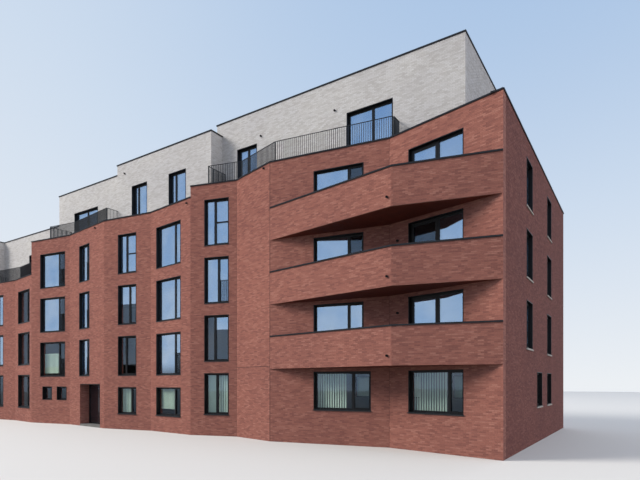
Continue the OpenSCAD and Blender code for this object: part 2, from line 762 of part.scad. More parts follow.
// Balcony outline: from the corner to its point and back to the first ridge
balcony_line = [front[0], [-balcony_point, -balcony_out], front[2]];
function balcony_inner(d) =
    let (u = dir(balcony_line[0], balcony_line[1]), v = dir(balcony_line[1], balcony_line[2]))
    let (p = on_line(balcony_line[0], balcony_line[1], d), q = on_line(balcony_line[1], balcony_line[2], d))
    let (r = on_line(front[0], front[1], -balcony_joint), w = on_line(front[1], front[2], -balcony_joint))
    [
        whole(crossing(p, u, r, dir(front[0], front[1]))), whole(crossing(p, u, q, v)),
        whole(crossing(q, v, w, dir(front[1], front[2])))
    ];
module balcony(k) {
    z0 = level(0, k) - balcony_drop;
    z1 = level(0, k) + balcony_rail_h - coping_t;
    translate([0, 0, z0]) linear_extrude(balcony_slab_t) polygon(concat(balcony_line, [front[1]]));
    translate([0, 0, z0]) linear_extrude(z1 - z0)
        polygon(concat(balcony_line, [for (i = [2:-1:0]) balcony_inner(balcony_wall_t)[i]]));
}
module lower_balcony() {
    color(brick) centred() balcony(1);
}
module middle_balcony() {
    color(brick) centred() balcony(2);
}
module upper_balcony() {
    color(brick) centred() balcony(3);
}
module balcony_copings() {
    line = folded(balcony_line, -coping_out);
    back_line = balcony_inner(balcony_wall_t + coping_out);
    color(metal) centred() {
        for (k = [1:3]) {
            translate([0, 0, level(0, k) + balcony_rail_h - coping_t]) linear_extrude(coping_t)
                polygon(concat(line, [front[2]], [for (i = [2:-1:0]) back_line[i]], [front[0]]));
        }
    }
}

// Foot of a section's railing, on its coping
function railing_z(s) = wall_top(s) + coping_t + fit;

// Flat side of a railing between two plan points, standing on its end posts
module railing_side(p, q, s) {
    l = norm(q - p);
    n = ceil((l - rail_w) / bar_step);
    h = RAILING_H[s];
    on_wall(p, q) translate([0, 0, railing_z(s)]) {
        for (x = [0, l - rail_t]) {
            translate([x, -rail_w / 2, 0]) cube([rail_t, rail_w, h]);
        }
        translate([0, -rail_w / 2, h - rail_t]) cube([l, rail_w, rail_t]);
        translate([0, -rail_w / 2, rail_low]) cube([l, rail_w, rail_t]);
        for (i = [1:n - 1]) {
            translate([l * i / n - bar_t / 2, -bar_d / 2, rail_low + rail_t / 2])
                cube([bar_t, bar_d, h - rail_low - rail_t]);
        }
    }
}
// Gap between the end posts of neighbouring sides, and the railing's distance from a party wall
railing_gap = 12;
railing_end = 210;
module railing(points, s) {
    for (i = [0:len(points) - 2]) {
        u = dir(points[i + 1], points[i]);
        railing_side(points[i + 1] + u * railing_gap, points[i] - u * railing_gap, s);
    }
}
module terrace_railing_a() {
    x = ab_right + railing_end;
    line = [
        railing_line[1], railing_line[2], railing_line[3], [x, line_y(railing_line, x)]
    ];
    color(dark) centred() {
        railing(line, 0);
        railing_return(line[0], upper_front_y, 0);
        railing_return(line[3], upper_front_y, 0);
    }
}
// Side of a railing that runs straight back to the white wall, where its last post is fixed
module railing_return(p, wall_y, s) {
    on_wall([p.x, p.y + rail_w], [p.x, wall_y]) translate([0, 0, railing_z(s)]) {
        l = wall_y - p.y - rail_w - fit;
        n = ceil(l / bar_step);
        h = RAILING_H[s];
        for (x = [0, l - rail_t]) {
            translate([x, -rail_w / 2, rail_low]) cube([rail_t, rail_w, h - rail_low]);
        }
        for (z = [h - rail_t, rail_low]) {
            translate([0, -rail_w / 2, z]) cube([l, rail_w, rail_t]);
        }
        for (i = [1:n - 1]) {
            translate([l * i / n - bar_t / 2, -bar_d / 2, rail_low + rail_t / 2])
                cube([bar_t, bar_d, h - rail_low - rail_t]);
        }
    }
}
module terrace_railing_b() {
    x1 = railing_line[6].x - railing_b_over;
    x2 = bc_right + railing_end + railing_b_short;
    line = [
        [x1, line_y(railing_line, x1)], railing_line[7], [x2, line_y(railing_line, x2)]
    ];
    color(dark) centred() {
        railing(line, 1);
        railing_return(line[0], block_front_y, 1);
        railing_return(line[2], recess_front_y, 1);
    }
}
module terrace_railing_c() {
    x1 = bc_left - railing_end - railing_c_short;
    x2 = end_right + railing_end;
    line = [
        [x1, line_y(railing_line, x1)], railing_line[9], [x2, line_y(railing_line, x2)]
    ];
    color(dark) centred() {
        railing(line, 2);
        railing_return(line[0], recess_front_y, 2);
        railing_return(line[2], recess_front_y, 2);
    }
}

module window_frames_front() {
    color(dark) centred() {
        for (w = FRONT_WINDOWS) {
            at_window(w) window_frame(w);
        }
    }
}
module window_frames_back() {
    color(dark) centred() {
        for (w = REAR_WINDOWS) {
            at_window(w) window_frame(w);
        }
    }
}
module window_glass_front() {
    color("steelblue", 0.5) centred() {
        for (w = FRONT_WINDOWS) {
            at_window(w) window_panes(w);
        }
    }
}
module window_glass_back() {
    color("steelblue", 0.5) centred() {
        for (w = REAR_WINDOWS) {
            at_window(w) window_panes(w);
        }
    }
}
module gable_sills() {
    color("lightgray") centred() {
        for (w = G) {
            at_window(w) translate([-sill_out, -sill_out, -sill_h])
                cube([w[2] + 2 * sill_out, sill_out - fit, sill_h]);
        }
    }
}

// Entrance screen between the brick returns: a fixed light on the left and the doorway on the right
post_w = frame_sight + screen_more;
leaf_h = entrance_h - lining_t - post_w - 2 * leaf_gap;
door_x1 = entrance_w - lining_t - post_w;
door_x0 = door_x1 - leaf_w - 2 * leaf_gap;
side_x0 = lining_t + post_w;
side_x1 = door_x0 - post_w;
screen_top = entrance_h - lining_t - post_w;
// The hinge pins stand behind the gap between the leaf and its post
pin_x = door_x1 - leaf_gap / 2;
pin_y = screen_y1 + knuckle_r;
leaf_y0 = screen_y1 - screen_more - leaf_t;
hinge_in = 250;
HINGE_Z = [hinge_in, leaf_h / 2, leaf_h - hinge_in];

module at_entrance() {
    on_wall(bay(6)[0], bay(6)[1]) translate([entrance_x0, 0, floor_b]) children();
}
module entrance_frame() {
    color(dark) centred() at_entrance() {
        // Soffit panel of the recess
        translate([fit, -lining_out, entrance_h - lining_t])
            cube([entrance_w - 2 * fit, lining_out + screen_y0 + cut, lining_t - fit]);
        difference() {
            translate([fit, screen_y0, 0])
                cube([entrance_w - 2 * fit, screen_y1 - screen_y0, entrance_h - fit]);
            translate([side_x0, 0, post_w]) cube([side_x1 - side_x0, screen_y1 + cut, screen_top - post_w]);
            translate([door_x0, 0, -cut]) cube([door_x1 - door_x0, screen_y1 + cut, screen_top + cut]);
        }
        for (z = HINGE_Z) {
            translate([pin_x, pin_y, z - knuckle_h]) cylinder(r = knuckle_r, h = knuckle_h, $fn = 32);
            translate([pin_x, pin_y, z - knuckle_h]) cylinder(r = pin_r, h = 2 * knuckle_h, $fn = 32);
            translate([pin_x, screen_y1 - cut, z - knuckle_h])
                cube([post_w - cut, knuckle_r + cut, knuckle_h]);
        }
    }
}
module entrance_glass() {
    color("steelblue", 0.5) centred() at_entrance()
        translate([side_x0 + fit, screen_y0 + (screen_y1 - screen_y0 - glass_t) / 2, post_w + fit])
            cube([side_x1 - side_x0 - 2 * fit, glass_t, screen_top - post_w - 2 * fit]);
}
module entrance_door() {
    x0 = door_x0 + leaf_gap;
    color(dark) centred() at_entrance() {
        difference() {
            translate([x0, leaf_y0, leaf_gap]) cube([leaf_w, leaf_t, leaf_h]);
            translate([x0 + stile_w, leaf_y0 - cut, leaf_gap + kick_h])
                cube([leaf_w - 2 * stile_w, leaf_t + 2 * cut, leaf_h - kick_h - stile_w]);
        }
        // Knuckles that turn on the pins
        for (z = HINGE_Z) {
            difference() {
                union() {
                    translate([pin_x, pin_y, z + fit]) cylinder(r = knuckle_r, h = knuckle_h, $fn = 32);
                    translate([pin_x - 5 * knuckle_r, leaf_y0 + leaf_t - cut / 2, z + fit])
                        cube([5 * knuckle_r, pin_y - leaf_y0 - leaf_t + cut / 2, knuckle_h]);
                }
                translate([pin_x, pin_y, z - cut])
                    cylinder(r = pin_r + fit, h = knuckle_h + 2 * cut, $fn = 32);
            }
        }
        // Pull handle on two stand-offs
        translate([x0 + stile_w / 2, leaf_y0 - pull_out, (leaf_h - pull_h) / 2])
            cylinder(r = pull_r, h = pull_h, $fn = 32);
        for (z = [-1, 1]) {
            translate([x0 + stile_w / 2, leaf_y0 + cut, leaf_h / 2 + z * pull_h * 0.4]) rotate([90, 0, 0])
                cylinder(r = pull_r / 2, h = pull_out + cut, $fn = 24);
        }
    }
}
module door_glass() {
    x0 = door_x0 + leaf_gap + stile_w + fit;
    color("steelblue", 0.5) centred() at_entrance()
        translate([x0, leaf_y0 + (leaf_t - glass_t) / 2, leaf_gap + kick_h + fit])
            cube([leaf_w - 2 * stile_w - 2 * fit, glass_t, leaf_h - kick_h - stile_w - 2 * fit]);
}

// Spouts through the parapets, the walls and the balcony fronts: [wall, x, height]
SPOUTS = concat(
    [for (k = [0:2]) let (i = parapet_spout_bays[k])
        [bay(i), bay_l(i) - parapet_spouts[k], wall_top(i < 4 ? 0 : 1) - parapet_spout_drops[k]]],
    [for (k = [1, 2]) [bay(0), wall_spout_x, level(0, k) + wall_spout_up]],
    [for (x = white_spouts_a) [UPPER_A, x, terrace(0) + white_spout_up_a]],
    [[UPPER_B1, white_spout_b, terrace(1) + white_spout_up_b]]
);
balcony_front_l = norm(balcony_line[2] - balcony_line[1]);
module overflow_spouts() {
    color(dark) centred() {
        for (s = SPOUTS) {
            on_wall(s[0][0], s[0][1]) translate([s[1], 0, s[2]]) spout();
        }
        for (k = [1:3]) {
            on_wall(balcony_line[2], balcony_line[1])
                translate([balcony_front_l - balcony_spout_x, 0, level(0, k) - balcony_spout_drop]) spout();
        }
    }
}
module spout() {
    translate([0, -fit, 0]) rotate([90, 0, 0]) difference() {
        cylinder(r = spout_r, h = spout_out, $fn = 24);
        translate([0, 0, spout_wall]) cylinder(r = spout_r - spout_wall, h = spout_out, $fn = 24);
    }
}

ground_slab();
first_floor();
second_floor();
third_floor();
terrace_floor();
upper_roof();
front_wall_a1();
front_wall_a2();
front_wall_a3();
front_wall_a4();
front_wall_b1();
front_wall_b2();
front_wall_b3_piers();
front_wall_b3_over();
front_wall_b4();
front_wall_c1();
front_wall_c2();
right_gable_wall();
left_end_wall();
back_walls();
party_walls();
upper_front_a();
upper_front_b();
upper_front_c();
upper_cross_walls();
upper_back_walls();
parapet_copings();
roof_copings();
lower_balcony();
middle_balcony();
upper_balcony();
balcony_copings();
terrace_railing_a();
terrace_railing_b();
terrace_railing_c();
window_frames_front();
window_frames_back();
window_glass_front();
window_glass_back();
gable_sills();
entrance_frame();
entrance_glass();
entrance_door();
door_glass();
overflow_spouts();
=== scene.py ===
"""Finishes and fine detail of an apartment block with a zigzag brick front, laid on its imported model."""
import json
import math

import bmesh
import bpy
import numpy as np
from mathutils import Matrix, Vector

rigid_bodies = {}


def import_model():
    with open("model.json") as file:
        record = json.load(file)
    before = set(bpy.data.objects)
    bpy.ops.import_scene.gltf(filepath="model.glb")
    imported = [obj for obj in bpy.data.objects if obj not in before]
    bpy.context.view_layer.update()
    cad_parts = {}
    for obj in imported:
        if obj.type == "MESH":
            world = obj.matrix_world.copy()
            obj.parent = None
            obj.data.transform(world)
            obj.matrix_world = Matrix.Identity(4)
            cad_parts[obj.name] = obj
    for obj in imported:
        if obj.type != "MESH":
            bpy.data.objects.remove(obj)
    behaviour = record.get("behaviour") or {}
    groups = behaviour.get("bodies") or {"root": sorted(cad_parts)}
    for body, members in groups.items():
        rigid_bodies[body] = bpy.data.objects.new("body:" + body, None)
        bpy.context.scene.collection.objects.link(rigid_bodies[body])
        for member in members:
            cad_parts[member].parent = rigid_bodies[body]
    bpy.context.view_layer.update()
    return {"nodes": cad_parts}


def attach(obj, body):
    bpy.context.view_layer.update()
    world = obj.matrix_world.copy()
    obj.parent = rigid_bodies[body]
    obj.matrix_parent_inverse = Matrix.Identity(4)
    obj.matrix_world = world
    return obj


for leftover in list(bpy.data.objects):
    bpy.data.objects.remove(leftover)
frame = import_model()
cad = frame["nodes"]
chance = np.random.default_rng(41)

# Sizes are in metres and angles in degrees, unless a comment says otherwise.
# Ways that the sides of the building look, in plan
STREET, GABLE, LEFT, GARDEN = (0, -1), (1, 0), (-1, 0), (0, 1)
# Least share of a face's normal along a way: in the finishes, in the planes of a wall and in level faces
LOOKING, FACING, LEVEL = 0.7, 0.93, 0.9

FRONT_A = [f"front_wall_a{bay}" for bay in (1, 2, 3, 4)]
FRONT_B = ["front_wall_b1", "front_wall_b2", "front_wall_b3_piers", "front_wall_b3_over", "front_wall_b4"]
FRONT_C = ["front_wall_c1", "front_wall_c2"]
WHITE_FRONTS = [f"upper_front_{section}" for section in "abc"]
RAILINGS = [f"terrace_railing_{section}" for section in "abc"]
# Terrace floor of each section, right, middle and left
TERRACES = {"a": 12.58, "b": 11.92, "c": 9.78}
# Underside and floor of each balcony
BALCONIES = {"lower_balcony": (3.33, 3.66), "middle_balcony": (6.28, 6.61), "upper_balcony": (9.23, 9.56)}

# Brickwork: the bricks with their joint, how they stand in the wall, and the least pieces that are cut
BRICK_LENGTH, COURSE_HEIGHT, JOINT = 0.220, 0.060, 0.010
BRICK_PROUD, BRICK_BEDDED, BRICK_UNEVEN = 0.004, 0.002, 0.0008
SMALLEST_CUT, SMALLEST_HEIGHT, SMALLEST_STEP = 0.018, 0.012, 0.002


def add_object(name, data):
    """A new object at the origin of the scene."""
    made = bpy.data.objects.new(name, data)
    bpy.context.scene.collection.objects.link(made)
    return made


def set_piece(name, mesh, look, body):
    """A mesh as a piece with a look, its (material, slot), riding on its body. The slot is not used."""
    material, slot = look
    mesh.name = name
    mesh.materials.clear()
    mesh.materials.append(material)
    piece = add_object(name, mesh)
    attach(piece, body)


# Colours and node trees

def rgb(red, green, blue):
    """A colour given as it looks on a screen, 0 to 255, as the linear colour that a material takes."""
    linear = [(c / 255) / 12.92 if c / 255 <= 0.04045 else ((c / 255 + 0.055) / 1.055) ** 2.4
              for c in (red, green, blue)]
    return (*linear, 1.0)


def grey(share):
    return (share, share, share, 1.0)


class Nodes:
    """A node tree, with short calls for what the sky, the finishes and the laying share."""

    def __init__(self, tree):
        self.nodes, self.link = tree.nodes, tree.links.new

    def fill(self, node, inputs):
        """Link the inputs that come from another node, and write the others."""
        for name, value in dict(inputs).items():
            if isinstance(value, bpy.types.NodeSocket):
                self.link(value, node.inputs[name])
            else:
                node.inputs[name].default_value = value
        return node

    def add(self, kind, inputs=(), **settings):
        """A node, for shaders unless its kind says otherwise."""
        node = self.nodes.new(kind if "Node" in kind else "ShaderNode" + kind)
        for name, value in settings.items():
            setattr(node, name, value)
        return self.fill(node, inputs)

    def math(self, operation, *values):
        return self.add("Math", enumerate(values), operation=operation).outputs[0]

    def split(self, vector):
        """The x, y and z of a vector."""
        return self.add("SeparateXYZ", {0: vector}).outputs

    def ramp(self, value, stops, interpolation="LINEAR"):
        node = self.add("ValToRGB", {"Fac": value})
        node.color_ramp.interpolation = interpolation
        while len(node.color_ramp.elements) < len(stops):
            node.color_ramp.elements.new(0.5)
        for element, (position, colour) in zip(node.color_ramp.elements, stops):
            element.position = position
            element.color = colour
        return node.outputs["Color"]

    def mix(self, share, first, second, blend="MIX"):
        # This node's colours are its inputs 6 and 7 and its output 2
        node = self.add("Mix", {0: share, 6: first, 7: second}, data_type="RGBA", blend_type=blend)
        return node.outputs[2]


class Finish(Nodes):
    """A material built from nodes."""

    def __init__(self, name):
        self.material = bpy.data.materials.new(name)
        self.material.use_nodes = True
        super().__init__(self.material.node_tree)
        self.shader = self.nodes["Principled BSDF"]
        self.place = self.add("TexCoord").outputs

    def surface(self, colour, roughness, metallic=0.0):
        self.fill(self.shader, {"Base Color": colour, "Roughness": roughness, "Metallic": metallic})

    def colour(self, value):
        self.link(value, self.shader.inputs["Base Color"])

    def noise(self, scale, detail):
        inputs = {"Vector": self.place["Object"], "Scale": scale, "Detail": detail, "Roughness": 0.55}
        return self.add("TexNoise", inputs).outputs["Fac"]

    def bump(self, height, strength, distance):
        node = self.add("Bump", {"Strength": strength, "Distance": distance, "Height": height})
        self.link(node.outputs["Normal"], self.shader.inputs["Normal"])

    def wall_place(self):
        """(along, up, 0) on any upright face, and (x, y, 0) on a level one."""
        x, y, z = self.split(self.place["Object"])
        normal_x, normal_y, normal_z = self.split(self.place["Normal"])
        along = self.math("SUBTRACT", self.math("MULTIPLY", normal_x, y), self.math("MULTIPLY", normal_y, x))
        level = self.math("GREATER_THAN", self.math("ABSOLUTE", normal_z), LOOKING)
        upright = self.math("SUBTRACT", 1.0, level)
        u, v = [self.math("ADD", self.math("MULTIPLY", raised, upright), self.math("MULTIPLY", flat, level))
                for raised, flat in ((along, x), (z, y))]
        return self.add("CombineXYZ", {0: u, 1: v}).outputs[0]


# Camera, floor and light

# Lens in millimetres. It is shifted up by a share of the picture's width, so that upright lines stay upright.
SENSOR_W, FOCAL_LENGTH, LENS_SHIFT = 36.0, 28.164, 143 / 640
EYE, EYE_TURN, SIGHT = (23.781, -25.487, 2.68), 32.95, 500

FLOOR_REACH, FLOOR_DROP, FLOOR_ROUGHNESS = 150.0, 0.002, 0.9
FLOOR_SEEN, FLOOR_THROWN = rgb(214, 212, 208), rgb(128, 124, 118)

# Colour of the sky by height, and the share of that height that counts, from the street round to the garden
SKY_TONES = [(0.0, rgb(236, 240, 244)), (0.3, rgb(205, 220, 238)), (0.75, rgb(140, 178, 222))]
SKY_SHARE = [(0.0, grey(1.0)), (0.3, grey(0.55)), (0.95, grey(1.0))]
SOFT_COLOUR, SOFT_STRENGTH = rgb(200, 212, 232), 0.8

# Strength on a face turned to the lamp, angle that it fills, colour, way to it, and how far away it is.
# The key lamp is near enough to light the left end of the front a little more than the right one.
LAMPS = {"key_light": (4.00, 25, (1.0, 0.96, 0.90), (-0.66, -0.52, 0.55), 210.0),
         "side_light": (0.85, 60, (1.0, 0.95, 0.93), (0.85, 0.0, 0.50), None),
         "garden_light": (0.90, 60, (0.96, 0.97, 1.0), (-0.15, 0.90, 0.35), None)}
LIT_MIDDLE = Vector((0.0, -7.0, 8.0))


def make_camera():
    lens = bpy.data.cameras.new("street_camera")
    lens.sensor_width, lens.lens, lens.shift_y, lens.clip_end = SENSOR_W, FOCAL_LENGTH, LENS_SHIFT, SIGHT
    camera = add_object("street_camera", lens)
    camera.location = EYE
    camera.rotation_euler = (math.pi / 2, 0, math.radians(EYE_TURN))
    bpy.context.scene.camera = camera


def make_floor():
    mesh = bpy.data.meshes.new("studio_floor")
    corners = [(x * FLOOR_REACH, y * FLOOR_REACH, 0) for x, y in ((-1, -1), (1, -1), (1, 1), (-1, 1))]
    mesh.from_pydata(corners, [], [(0, 1, 2, 3)])
    floor = add_object("studio_floor", mesh)
    floor.location.z = -FLOOR_DROP
    finish = Finish("studio_floor_finish")
    finish.surface(FLOOR_SEEN, FLOOR_ROUGHNESS)
    # Pale to the eye, and dimmer in the light that it throws back on the walls
    seen = finish.add("LightPath").outputs["Is Camera Ray"]
    finish.colour(finish.mix(seen, FLOOR_THROWN, FLOOR_SEEN))
    mesh.materials.append(finish.material)


def make_sky():
    """A sky that the camera and the glass see, and an even light from all round for everything else."""
    bpy.context.scene.view_settings.view_transform = "Standard"
    world = bpy.data.worlds.new("studio_sky")
    bpy.context.scene.world = world
    world.use_nodes = True
    world.node_tree.nodes.clear()
    sky = Nodes(world.node_tree)
    _, depth, height = sky.split(sky.add("TexCoord").outputs["Generated"])
    # The sky pales towards the left of the picture, but not in the windows, which look the other way
    level = sky.math("MULTIPLY", height, sky.ramp(depth, SKY_SHARE, "EASE"))
    path = sky.add("LightPath").outputs
    seen = sky.math("MAXIMUM", sky.math("MAXIMUM", path["Is Camera Ray"], path["Is Glossy Ray"]),
                    path["Is Transmission Ray"])
    shown = sky.add("Background", {"Color": sky.ramp(level, SKY_TONES)})
    soft = sky.add("Background", {"Color": SOFT_COLOUR, "Strength": SOFT_STRENGTH})
    mixed = sky.add("MixShader", {"Fac": seen, 1: soft.outputs[0], 2: shown.outputs[0]})
    sky.add("OutputWorld", {"Surface": mixed.outputs[0]})


def make_lamps():
    for name, (strength, angle, colour, towards, away) in LAMPS.items():
        lamp = bpy.data.lights.new(name, "AREA" if away else "SUN")
        if away:
            lamp.shape = "DISK"
            lamp.size = 2 * away * math.tan(math.radians(angle / 2))
            lamp.energy = strength * math.pi * away ** 2
        else:
            lamp.angle = math.radians(angle)
            lamp.energy = strength
        lamp.color = colour
        placed = add_object(name, lamp)
        placed.visible_camera = placed.visible_glossy = placed.visible_transmission = False
        placed.rotation_euler = Vector(towards).to_track_quat("Z", "Y").to_euler()
        placed.location = LIT_MIDDLE + Vector(towards).normalized() * (away or 0.0)


make_camera()
make_floor()
make_sky()
make_lamps()


# Finishes

# Tones of the bricks from dark to light, and the mortar
RED_BRICK = ([rgb(131, 84, 75), rgb(143, 92, 81), rgb(150, 97, 85), rgb(155, 101, 88), rgb(167, 114, 100)],
             rgb(148, 104, 93))
# The gable's tones are the red brick's tones made darker and duller: painted shade of the gable side
SHADED_GABLE_BRICK = ([rgb(110, 66, 60), rgb(120, 73, 65), rgb(126, 77, 69), rgb(130, 81, 72), rgb(141, 91, 82)],
               rgb(124, 83, 76))
WHITE_BRICK = ([rgb(186, 182, 178), rgb(197, 194, 190), rgb(203, 200, 197), rgb(208, 206, 204)],
               rgb(178, 175, 171))
# The plaster of the rooms is darker than plaster is: painted shade of the deep rooms
SHADED_PLASTER = rgb(150, 147, 142)
# Light and dark of the grain on a brick, the slow change over a wall, and the darkest sand in the mortar
GRAIN = [(0.3, (0.35, 0.33, 0.33, 1)), (0.7, (0.95, 0.93, 0.9, 1))]
CLOUDS = [(0.35, (0.90, 0.90, 0.92, 1)), (0.65, (1, 1, 1, 1))]
DARK_SAND = 0.8


def drawn_courses(finish):
    """Courses of bricks drawn on a wall, from black to white, with Fac as the joint between them."""
    return finish.add("TexBrick", {
        "Vector": finish.wall_place(), "Color1": grey(0.0), "Color2": grey(1.0), "Mortar": grey(0.5),
        "Scale": 1.0, "Mortar Size": JOINT / 2, "Mortar Smooth": 0.2,
        "Brick Width": BRICK_LENGTH, "Row Height": COURSE_HEIGHT},
        offset=0.5, offset_frequency=2, squash=1.0).outputs


def brick_finish(name, brick, laid=False, rooms=(), room_top=0.0):
    """Brickwork: laid bricks read their own tone, and a wall between or behind them draws its courses.
    Faces that look the way of its rooms, below room_top, are plastered, in a plaster darkened as painted shade
    of the rooms."""
    tones, mortar = brick
    finish = Finish(name)
    finish.surface(mortar, roughness=0.9)
    broad, fine = finish.noise(scale=0.35, detail=2.0), finish.noise(scale=38.0, detail=4.0)
    if laid:
        tone = finish.add("Attribute", attribute_name="tone").outputs["Fac"]
    else:
        courses = drawn_courses(finish)
        tone = courses["Color"]
    body = finish.ramp(tone, [(i / (len(tones) - 1), t) for i, t in enumerate(tones)])
    worn = finish.mix(0.35, body, finish.ramp(fine, GRAIN), "SOFT_LIGHT")
    shaded = finish.mix(1.0, worn, finish.ramp(broad, CLOUDS), "MULTIPLY")
    if laid:
        finish.colour(shaded)
        finish.bump(fine, strength=0.5, distance=0.002)
        return finish.material
    dark_mortar = (*[c * DARK_SAND for c in mortar[:3]], 1)
    sand = finish.mix(0.5, mortar, finish.ramp(fine, [(0.3, mortar), (0.7, dark_mortar)]))
    wall = finish.mix(courses["Fac"], shaded, sand)
    if rooms:
        axis = 0 if rooms[0][0] else 1
        facing = finish.split(finish.place["Normal"])[axis]
        up = finish.split(finish.place["Object"])[2]
        if len(rooms) == 2:
            towards = finish.math("ABSOLUTE", facing)
        else:
            towards = finish.math("MULTIPLY", facing, float(rooms[0][axis]))
        plastered = finish.math("MULTIPLY", finish.math("GREATER_THAN", towards, LOOKING),
                                finish.math("LESS_THAN", up, room_top))
        wall = finish.mix(plastered, wall, SHADED_PLASTER)
    finish.colour(wall)
    flat = finish.math("SUBTRACT", 1.0, courses["Fac"])
    relief = finish.math("ADD", flat, finish.math("MULTIPLY", fine, 0.3))
    finish.bump(relief, strength=0.6, distance=BRICK_PROUD)
    return finish.material


# Painted metal: share of metal, streaks darker and lighter by a share and at least a little, uneven roughness
PAINTED, STREAK, LEAST_STREAK, UNEVEN_GLOSS = 0.35, 0.12, 0.004, 0.12


def metal_finish(name, colour, roughness):
    finish = Finish(name)
    finish.surface(colour, roughness, metallic=PAINTED)
    cloud = finish.noise(scale=1.7, detail=3.0)
    low = (*[c * (1 - STREAK) for c in colour[:3]], 1)
    high = (*[min(1, c * (1 + STREAK) + LEAST_STREAK) for c in colour[:3]], 1)
    finish.colour(finish.ramp(cloud, [(0.3, low), (0.7, high)]))
    uneven = finish.math("ADD", finish.math("MULTIPLY", cloud, UNEVEN_GLOSS), roughness - UNEVEN_GLOSS / 2)
    finish.link(uneven, finish.shader.inputs["Roughness"])
    finish.bump(finish.noise(scale=60.0, detail=2.0), strength=0.15, distance=0.001)
    return finish.material


# Share of mirror in the glass: ground floor, entrance and upper floors, the heights between which it changes,
# and the lights of the upper floors that stay clear of mirror, each as least and greatest x and z. The glass
# is one
# coated glass: its uneven mirror is painted reflection, less near the ground and none in those lights, which
# reflect darker things than the sky.
GROUND_MIRROR, ENTRANCE_MIRROR, UPPER_MIRROR = 0.08, 0.24, 0.62
MIRROR_FROM, MIRROR_FULL = 3.1, 3.8
LIGHTS_PAINTED_UNMIRRORED = [(-13.6, -11.3, 3.1, 9.6), (-8.55, -7.6, 3.1, 12.0), (-10.6, -8.55, 3.1, 6.0),
                (4.6, 6.4, 3.1, 5.4), (4.6, 5.36, 5.4, 6.4), (-2.1, -0.5, 3.1, 5.3), (-2.1, -1.35, 5.3, 6.1),
                (-2.1, -0.5, 6.1, 7.25), (13.05, 13.75, 6.7, 12.1), (15.9, 17.15, 6.7, 9.1)]


def glass_finish(name, low, high, clear):
    """Coated double glazing, part mirror, part clear: low near the ground, high above, and clear places. The
    uneven mirror is painted reflection.
    """
    finish = Finish(name)
    finish.surface(rgb(190, 214, 240), roughness=0.03, metallic=1.0)
    x, _, z = finish.split(finish.place["Object"])
    share = finish.add("MapRange", {"Value": z, "From Min": MIRROR_FROM, "From Max": MIRROR_FULL,
                                    "To Min": low, "To Max": high}).outputs[0]
    # These lights lose their mirror: painted reflection
    for x0, x1, z0, z1 in clear:
        inside = high - low
        for kind, value, edge in (("GREATER", x, x0), ("LESS", x, x1), ("GREATER", z, z0), ("LESS", z, z1)):
            inside = finish.math("MULTIPLY", inside, finish.math(kind + "_THAN", value, edge))
        share = finish.math("SUBTRACT", share, inside)
    finish.link(share, finish.shader.inputs["Alpha"])
    ripple = finish.noise(scale=0.9, detail=1.0)
    finish.colour(finish.ramp(ripple, [(0.3, rgb(176, 206, 238)), (0.7, rgb(200, 220, 242))]))
    finish.bump(ripple, strength=0.05, distance=0.01)
    return finish.material


def plain_finish(name, light, dark, roughness, scale=6.0):
    finish = Finish(name)
    finish.surface(light, roughness)
    finish.colour(finish.ramp(finish.noise(scale, detail=4.0), [(0.3, dark), (0.7, light)]))
    finish.bump(finish.noise(scale * 12, detail=3.0), strength=0.15, distance=0.002)
    return finish.material


def dress(material, *names):
    for name in names:
        node = cad[name]
        if not node.material_slots:
            node.data.materials.append(material)
        for slot in node.material_slots:
            slot.material = material


# Top of the plaster on the room side of a wall, the white ones included
PLASTER_TOP = {**TERRACES, "upper": 20.0, None: 0.0}
# Brickwork of the walls themselves: name, brick, ways of the rooms, top of their plaster, nodes
for name, brick, rooms, section, nodes in (
        ("red_brickwork_right", RED_BRICK, [GARDEN], "a", FRONT_A),
        ("red_brickwork_middle", RED_BRICK, [GARDEN], "b", FRONT_B),
        ("red_brickwork_left", RED_BRICK, [GARDEN], "c", FRONT_C),
        # The gable's brickwork is the red brick in painted shade
        ("red_brickwork_gable_painted_shade", SHADED_GABLE_BRICK, [LEFT], "a", ["right_gable_wall"]),
        ("red_brickwork_end", RED_BRICK, [GABLE], "c", ["left_end_wall"]),
        ("red_brickwork_back", RED_BRICK, [STREET], "c", ["back_walls"]),
        ("red_brickwork_party", RED_BRICK, [GABLE, LEFT], "c", ["party_walls"]),
        ("red_brickwork_balconies", RED_BRICK, [], None, BALCONIES),
        ("white_brickwork_front", WHITE_BRICK, [GARDEN], "upper", WHITE_FRONTS),
        ("white_brickwork_cross", WHITE_BRICK, [], None, ["upper_cross_walls"]),
        ("white_brickwork_back", WHITE_BRICK, [STREET], "upper", ["upper_back_walls"])):
    dress(brick_finish(name, brick, rooms=rooms, room_top=PLASTER_TOP[section]), *nodes)

coping_metal = metal_finish("charcoal_coping", rgb(43, 42, 45), 0.6)
frame_metal = metal_finish("anthracite_frames", rgb(26, 25, 27), 0.45)
railing_metal = metal_finish("charcoal_railing", rgb(56, 58, 61), 0.5)
bright_metal = metal_finish("brushed_hardware", rgb(150, 152, 155), 0.35)
window_glass = glass_finish("coated_window_glass", GROUND_MIRROR, UPPER_MIRROR, LIGHTS_PAINTED_UNMIRRORED)
entrance_glass = glass_finish("coated_entrance_glass", ENTRANCE_MIRROR, ENTRANCE_MIRROR, [])
pale_sill = plain_finish("cast_sill", rgb(196, 188, 178), rgb(172, 164, 154), 0.85)
roof_skin = plain_finish("roof_membrane", rgb(150, 150, 148), rgb(126, 127, 126), 0.9, 3.0)
blind_fabric = plain_finish("blind_fabric", rgb(200, 224, 204), rgb(184, 210, 190), 0.9, 1.5)
joint_seal = plain_finish("joint_seal", rgb(70, 46, 42), rgb(58, 38, 36), 0.7, 20.0)
paver = plain_finish("concrete_paver", rgb(176, 173, 168), rgb(152, 149, 145), 0.9, 5.0)
